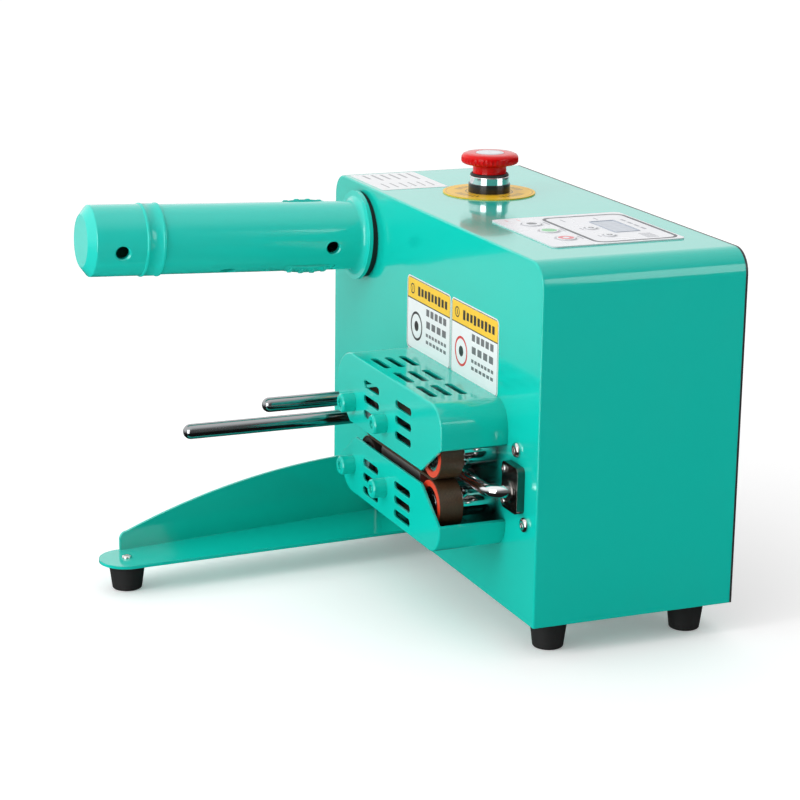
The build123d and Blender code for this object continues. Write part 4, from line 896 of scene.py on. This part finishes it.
# ---- key panel ----
class MACHINE_OT_key_panel(bpy.types.Operator):
    """Lay the display window, its border and the printed signs on the key panel"""
    bl_idname = "machine.key_panel"
    bl_label = "Dress the key panel"

    def execute(self, context):
        colours = context.scene.machine_colours
        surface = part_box("keypad_overlay")[1].z / MM
        self.border(surface)
        self.window(surface)
        self.key_rims(surface)
        self.key_caps(tuple(colours.film))
        self.small_prints(node_finishes(colours)["panel_film"])
        return {"FINISHED"}

    def key_caps(self, film):
        """White key caps, each with a printed spot in its own colour."""
        grey = (0.10, 0.11, 0.13)
        green = (0.16, 0.56, 0.24)
        red = (0.72, 0.13, 0.16)
        spots = ((grey, 0.0, 3.4), (green, 0.0, 4.9), (red, 2.1, 5.0), (grey, 0.6, 2.0), (grey, 0.6, 2.0))
        for name, (ink, inner, outer) in zip(KEYS, spots):
            spot_mark = ring(seen_from_above(name)[0], inner, outer, ink)
            cap = printed(flat_ink(name + "_cap", film, 0.26), [spot_mark])
            dress(frame["nodes"][name], cap)

    def border(self, surface):
        """Grey line with rounded corners round the display half of the panel."""
        line = 2.2
        low = (40.0, 92.6)
        high = (122.5, 150.5)
        border = rounded_plate("panel_border", low, high, "top", surface, thickness=0.06, corner=8)
        edit(border)
        select(border, "FACE", lambda face: abs(face.normal.z) > LEVEL)
        bpy.ops.mesh.inset(thickness=line * MM, depth=0.0)
        bpy.ops.mesh.bridge_edge_loops()
        close_edit()
        close_piece(border, "root", flat_ink("border_ink", (0.06, 0.065, 0.08)))

    def window(self, surface):
        """Display window: a low frame with a recessed grey glass and rows of unlit figures."""
        rim = 1.0
        bevel = 0.15
        recess = 0.22
        low = (59.5, 118)
        high = (96.5, 136)
        window = rounded_plate("display_window", low, high, "top", surface, thickness=0.3, corner=1.5)
        edit(window)
        select(window, "FACE", lambda face: face.normal.z > LEVEL)
        bpy.ops.mesh.inset(thickness=rim * MM, depth=0.0)
        bpy.ops.mesh.inset(thickness=bevel * MM, depth=-recess * MM)
        close_edit()
        glass = finish("display_glass", (0.30, 0.36, 0.46), 0.09, coat=0.5, drift=0.06, depth=0.000002,
                       edge=0.0002, wear=0.0)
        figures = []
        for column in range(5):
            for row in range(2):
                middle = (64.5 + 6.6 * column, 123.6 + 6.8 * row)
                figures.append(bar(middle, (2.2, 2.2), 0.5, (0.26, 0.32, 0.41)))
        close_piece(window, "root", printed(glass, figures))

    def key_rims(self, surface):
        """Raised rim round each key, pressed into the film."""
        height = 0.18
        material = flat_ink("key_rim_ink", (0.62, 0.63, 0.66))
        for key in KEYS:
            middle, radius = seen_from_above(key)
            rim = turned(key + "_rim", (*middle, surface), [
                (radius + 0.55, 0.0), (radius + 1.5, 0.0), (radius + 1.4, height), (radius + 0.65, height)])
            bore_through(rim)
            close_piece(rim, "root", material)

    def small_prints(self, film):
        """Short printed bars beside the keys and the window."""
        grey = (0.33, 0.34, 0.38)
        pink = (0.72, 0.45, 0.45)
        marks = []
        for across, up, half, ink in ((56, 90.5, 5, grey), (79, 90.8, 4.6, grey), (103.5, 90.6, 4.6, grey),
                                      (41.5, 78, 3.0, pink), (41.5, 70, 2.4, pink),
                                      (79.5, 103.4, 2.6, grey), (103.5, 103.8, 2.6, grey),
                                      (52, 104, 4, grey), (52, 127, 3.4, grey)):
            marks.append(bar((across, up), (half, 0.6), 0.2, ink))
        for index in range(7):
            marks.append(bar((104 + 2.0 * index, 134), (0.6, 4.2), 0.2, grey))
        for index in range(4):
            marks.append(bar((62 + 9 * index, 141.5), (3.4, 1.0), 0.2, grey))
        dress(frame["nodes"]["keypad_overlay"], printed(finish("panel_print", **film), marks))


# ---- emergency stop ----
class MACHINE_OT_emergency_stop(bpy.types.Operator):
    """Turn the mushroom head, its cap disc and the rubber seal of the emergency stop"""
    bl_idname = "machine.emergency_stop"
    bl_label = "Make the emergency stop"

    def execute(self, context):
        middle = (*seen_from_above("estop_head")[0], TOP)
        flutes = context.scene.machine_sizes.head_flutes
        self.head(middle, flutes, tuple(context.scene.machine_colours.red))
        self.cap_disc(middle)
        self.seal(middle)
        return {"FINISHED"}

    def head(self, middle, flutes, colour):
        """Red mushroom head with a waisted neck and finger flutes round its rim."""
        rim = 19.15
        flute_low = 19.8
        flute_high = 23.6
        flute_inner = 16.0
        pinch = 0.975
        profile = [
            (3.2, 6.7), (11.4, 6.7), (11.45, 12.4), (11.3, 13.6), (11.2, 18.0), (11.5, 18.7), (12.4, 19.2),
            (14.6, 19.5), (17.2, 19.8), (18.6, 20.5), (rim, 21.6), (rim, 23.6), (18.9, 24.9), (18.1, 26.0),
            (16.6, 26.7), (14.0, 27.0), (10.1, 27.1), (9.6, 26.7), (3.2, 26.7)]
        head = turned("estop_mushroom", middle, profile, segments=flutes * 4)

        def in_flute(face):
            across, up, height = face.calc_center_median() / MM - Vector(middle)
            place = math.atan2(up, across) / (2 * math.pi) * flutes % 1.0
            return flute_low < height < flute_high and place < 0.5 and math.hypot(across, up) > flute_inner

        edit(head)
        select(head, "FACE", in_flute)
        bpy.ops.transform.resize(value=(pinch, pinch, 1.0),
                                 center_override=[value * MM for value in middle])
        close_edit()
        red = finish("estop_red", colour, 0.1, ior=1.3, depth=0.000004, edge=0.0003, wear=0.0)
        close_piece(head, "estop_knob", red, replaced=("estop_head",), sharp=40.0)

    def cap_disc(self, middle):
        """Pale disc let into the head, with a printed ring and a dot."""
        grey = (0.42, 0.45, 0.48)
        profile = [(9.4, 26.6), (9.4, 27.1), (9.1, 27.25), (6.0, 27.28), (1.0, 27.29)]
        disc = turned("estop_disc", middle, profile)
        pale = finish("estop_disc_pale", (0.66, 0.70, 0.74), 0.2, coat=0.3, drift=0.04, depth=0.000005,
                      edge=0.0002, wear=0.0)
        marks = [ring(middle, 7.3, 7.8, grey), ring(middle, 0.0, 1.3, grey)]
        close_piece(disc, "estop_knob", printed(pale, marks))

    def seal(self, middle):
        """Black rubber lip between the bright collar and the neck."""
        profile = [(11.6, 11.75), (12.9, 11.75), (12.95, 12.4), (12.6, 13.2), (12.1, 13.6), (11.7, 13.6)]
        lip = turned("estop_seal", middle, profile)
        bore_through(lip)
        rubber = finish("seal_rubber", (0.012, 0.012, 0.012), 0.5, drift=0.2, depth=0.00003, wear=0.1,
                        worn=(0.05, 0.05, 0.05))
        close_piece(lip, "root", rubber)


# ---- belts ----
class MACHINE_OT_belts(bpy.types.Operator):
    """Wrap the two sealing belts of coated glass cloth round their rollers"""
    bl_idname = "machine.belts"
    bl_label = "Make the belts"

    def execute(self, context):
        sheet = context.scene.machine_sizes.belt_sheet
        cloth = belt_cloth(context.scene.machine_colours)
        for name in ("upper_belt", "lower_belt"):
            self.belt(name, sheet, cloth)
        return {"FINISHED"}

    def belt(self, name, sheet, cloth):
        """Closed band in metres: a ring whose halves are drawn apart, given its thickness last."""
        low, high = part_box(name)
        reach = (high.z - low.z) / 2
        radius = reach - sheet / 2
        half_span = (high.x - low.x) / 2 - reach
        middle = (low + high) / 2
        inset = 0.05 * MM
        past_middle = 0.01 * MM
        steps = 3
        step = (high.y - low.y - 2 * inset) / steps
        clear_selection()
        bpy.ops.mesh.primitive_circle_add(vertices=128, radius=radius, fill_type="NOTHING",
                                          location=(middle.x, low.y + inset, middle.z),
                                          rotation=(math.radians(90), 0.0, 0.0))
        band = bpy.context.object
        band.name = name + "_cloth"
        bpy.ops.object.transform_apply(location=True, rotation=True, scale=True)
        edit(band)
        for side in (1, -1):
            select(band, "VERT", lambda vertex: (vertex.co.x - middle.x) * side > past_middle)
            bpy.ops.transform.translate(value=(half_span * side, 0.0, 0.0))
        bpy.ops.mesh.select_all(action="SELECT")
        for _ in range(steps):
            bpy.ops.mesh.extrude_edges_move(TRANSFORM_OT_translate={"value": (0.0, step, 0.0)})
        close_edit()
        self.unroll(band, middle, radius, half_span)
        thick = band.modifiers.new("sheet", "SOLIDIFY")
        thick.thickness = sheet
        thick.offset = 0.0
        thick.use_even_offset = True
        close_piece(band, "root", cloth, replaced=(name,), sharp=50.0)

    def unroll(self, band, middle, radius, half_span):
        """Write the distance along the belt and the place across it into the piece's own map."""
        layer = band.data.uv_layers.new(name="belt_run")
        turn = math.pi * radius
        for loop in band.data.loops:
            place = band.data.vertices[loop.vertex_index].co - middle
            if place.x > half_span:
                run = radius * math.atan2(place.x - half_span, place.z) + half_span
            elif place.x < -half_span:
                run = radius * math.atan2(-place.x - half_span, -place.z) + 3 * half_span + turn
            elif place.z > 0:
                run = place.x
            else:
                run = 2 * half_span + turn - place.x
            layer.data[loop.index].uv = (run, place.y)


# ---- roll arm ----
def arm_axis():
    """Where the roll arm's axis starts, and its direction."""
    spin = JOINTS["arm_spin"]
    return Vector(spin["pos_m"]), Vector(spin["axis"]).normalized()


class MACHINE_OT_grip_ribs(bpy.types.Operator):
    """Mould the small ribs that bite into the roll's core on each grip pad"""
    bl_idname = "machine.grip_ribs"
    bl_label = "Mould the grip ribs"

    def execute(self, context):
        count = context.scene.machine_sizes.grip_ribs
        colour = tuple(context.scene.machine_colours.plastic)
        plastic = finish("grip_plastic", colour, 0.3, drift=0.06, grain=1500.0, worn=(0.35, 0.85, 0.8))
        pad_middle = 42.7 * MM
        pad_half_length = 17.5 * MM
        pad_crown = 24.2 * MM
        end_drop = 1.8 * MM
        pitch = 8.0 * MM
        start, axis = arm_axis()
        pattern = self.rib()
        for side in ("lower", "upper"):
            outward = -Vector(JOINTS[side + "_grip_press"]["axis"]).normalized()
            turn = Matrix((axis, axis.cross(outward), outward)).transposed().to_4x4()
            for index in range(count):
                offset = (index - (count - 1) / 2) * pitch
                crown = pad_crown - end_drop * (offset / pad_half_length) ** 2
                place = start + axis * (pad_middle + offset) + outward * crown
                rib = pattern.copy()
                rib.data = pattern.data.copy()
                rib.name = f"grip_rib_{side}_{index + 1}"
                context.scene.collection.objects.link(rib)
                rib.data.transform(Matrix.Translation(place) @ turn)
                close_piece(rib, side + "_grip", plastic)
        bpy.data.objects.remove(pattern)
        return {"FINISHED"}

    def rib(self):
        """Low bar with a rounded ridge, modelled once at the origin."""
        width, length, height = 3.2, 9.8, 1.6
        rounding = 0.45
        clear_selection()
        bpy.ops.mesh.primitive_cube_add(size=1.0)
        rib = bpy.context.object
        rib.scale = (width * MM, length * MM, height * MM)
        bpy.ops.object.transform_apply(location=False, rotation=False, scale=True)
        edit(rib)
        select(rib, "EDGE", lambda side: all(vertex.co.z > 0 for vertex in side.verts))
        bpy.ops.mesh.bevel(offset=rounding * MM, segments=3, affect="EDGES")
        close_edit()
        return rib


class MACHINE_OT_arm_band(bpy.types.Operator):
    """Turn the raised band with two rounded ridges round the arm's end cap"""
    bl_idname = "machine.arm_band"
    bl_label = "Turn the arm band"

    def execute(self, context):
        cap = 23.7
        cap_start = 146.2
        ridges = [(-0.4, 0.0), (0.1, 0.0), (0.55, 0.35), (0.75, 0.9), (0.75, 1.6), (0.55, 2.2), (0.25, 2.5),
                  (0.2, 11.0), (0.55, 11.3), (0.75, 11.8), (0.75, 12.5), (0.55, 13.0), (0.1, 13.4),
                  (-0.4, 13.4)]
        band = turned("arm_band", (0.0, 0.0, 0.0), [(cap + rise, along) for rise, along in ridges],
                      segments=128)
        bore_through(band)
        start, axis = arm_axis()
        side = Vector((0.0, 0.0, 1.0)).cross(axis).normalized()
        turn = Matrix((side, axis.cross(side), axis)).transposed().to_4x4()
        band.data.transform(Matrix.Translation(start + axis * cap_start * MM) @ turn)
        colour = tuple(context.scene.machine_colours.plastic)
        plastic = finish("band_plastic", colour, 0.17, drift=0.03, grain=1500.0, depth=0.000006,
                         edge=0.0003, wear=0.0)
        close_piece(band, "roll_arm", plastic, sharp=60.0)
        return {"FINISHED"}


# ---- panel and start-up ----
class MACHINE_PT_panel(bpy.types.Panel):
    """Lists the machine's sizes, colours and building steps"""
    bl_idname = "MACHINE_PT_panel"
    bl_label = "Air Cushion Machine"
    bl_space_type = "VIEW_3D"
    bl_region_type = "UI"
    bl_category = "Machine"

    def draw(self, context):
        layout = self.layout
        for group in (context.scene.machine_sizes, context.scene.machine_colours):
            box = layout.box()
            for name in group.bl_rna.properties.keys():
                if name not in ("rna_type", "name"):
                    box.prop(group, name)
        for step in STEPS:
            layout.operator(step.bl_idname)


STEPS = (MACHINE_OT_finishes, MACHINE_OT_stage, MACHINE_OT_stickers, MACHINE_OT_key_panel,
         MACHINE_OT_emergency_stop, MACHINE_OT_belts, MACHINE_OT_grip_ribs, MACHINE_OT_arm_band)
CLASSES = (MachineSizes, MachineColours) + STEPS + (MACHINE_PT_panel,)


def register():
    """Add the classes and the scene's settings."""
    for item in CLASSES:
        bpy.utils.register_class(item)
    bpy.types.Scene.machine_sizes = bpy.props.PointerProperty(type=MachineSizes)
    bpy.types.Scene.machine_colours = bpy.props.PointerProperty(type=MachineColours)


def unregister():
    """Remove the scene's settings and the classes."""
    del bpy.types.Scene.machine_colours
    del bpy.types.Scene.machine_sizes
    for item in reversed(CLASSES):
        bpy.utils.unregister_class(item)


def main():
    """Build everything in order."""
    register()
    bpy.ops.machine.finishes()
    bpy.ops.machine.stage()
    bpy.ops.machine.stickers()
    bpy.ops.machine.key_panel()
    bpy.ops.machine.emergency_stop()
    bpy.ops.machine.belts()
    bpy.ops.machine.grip_ribs()
    bpy.ops.machine.arm_band()


if __name__ == "__main__":
    main()
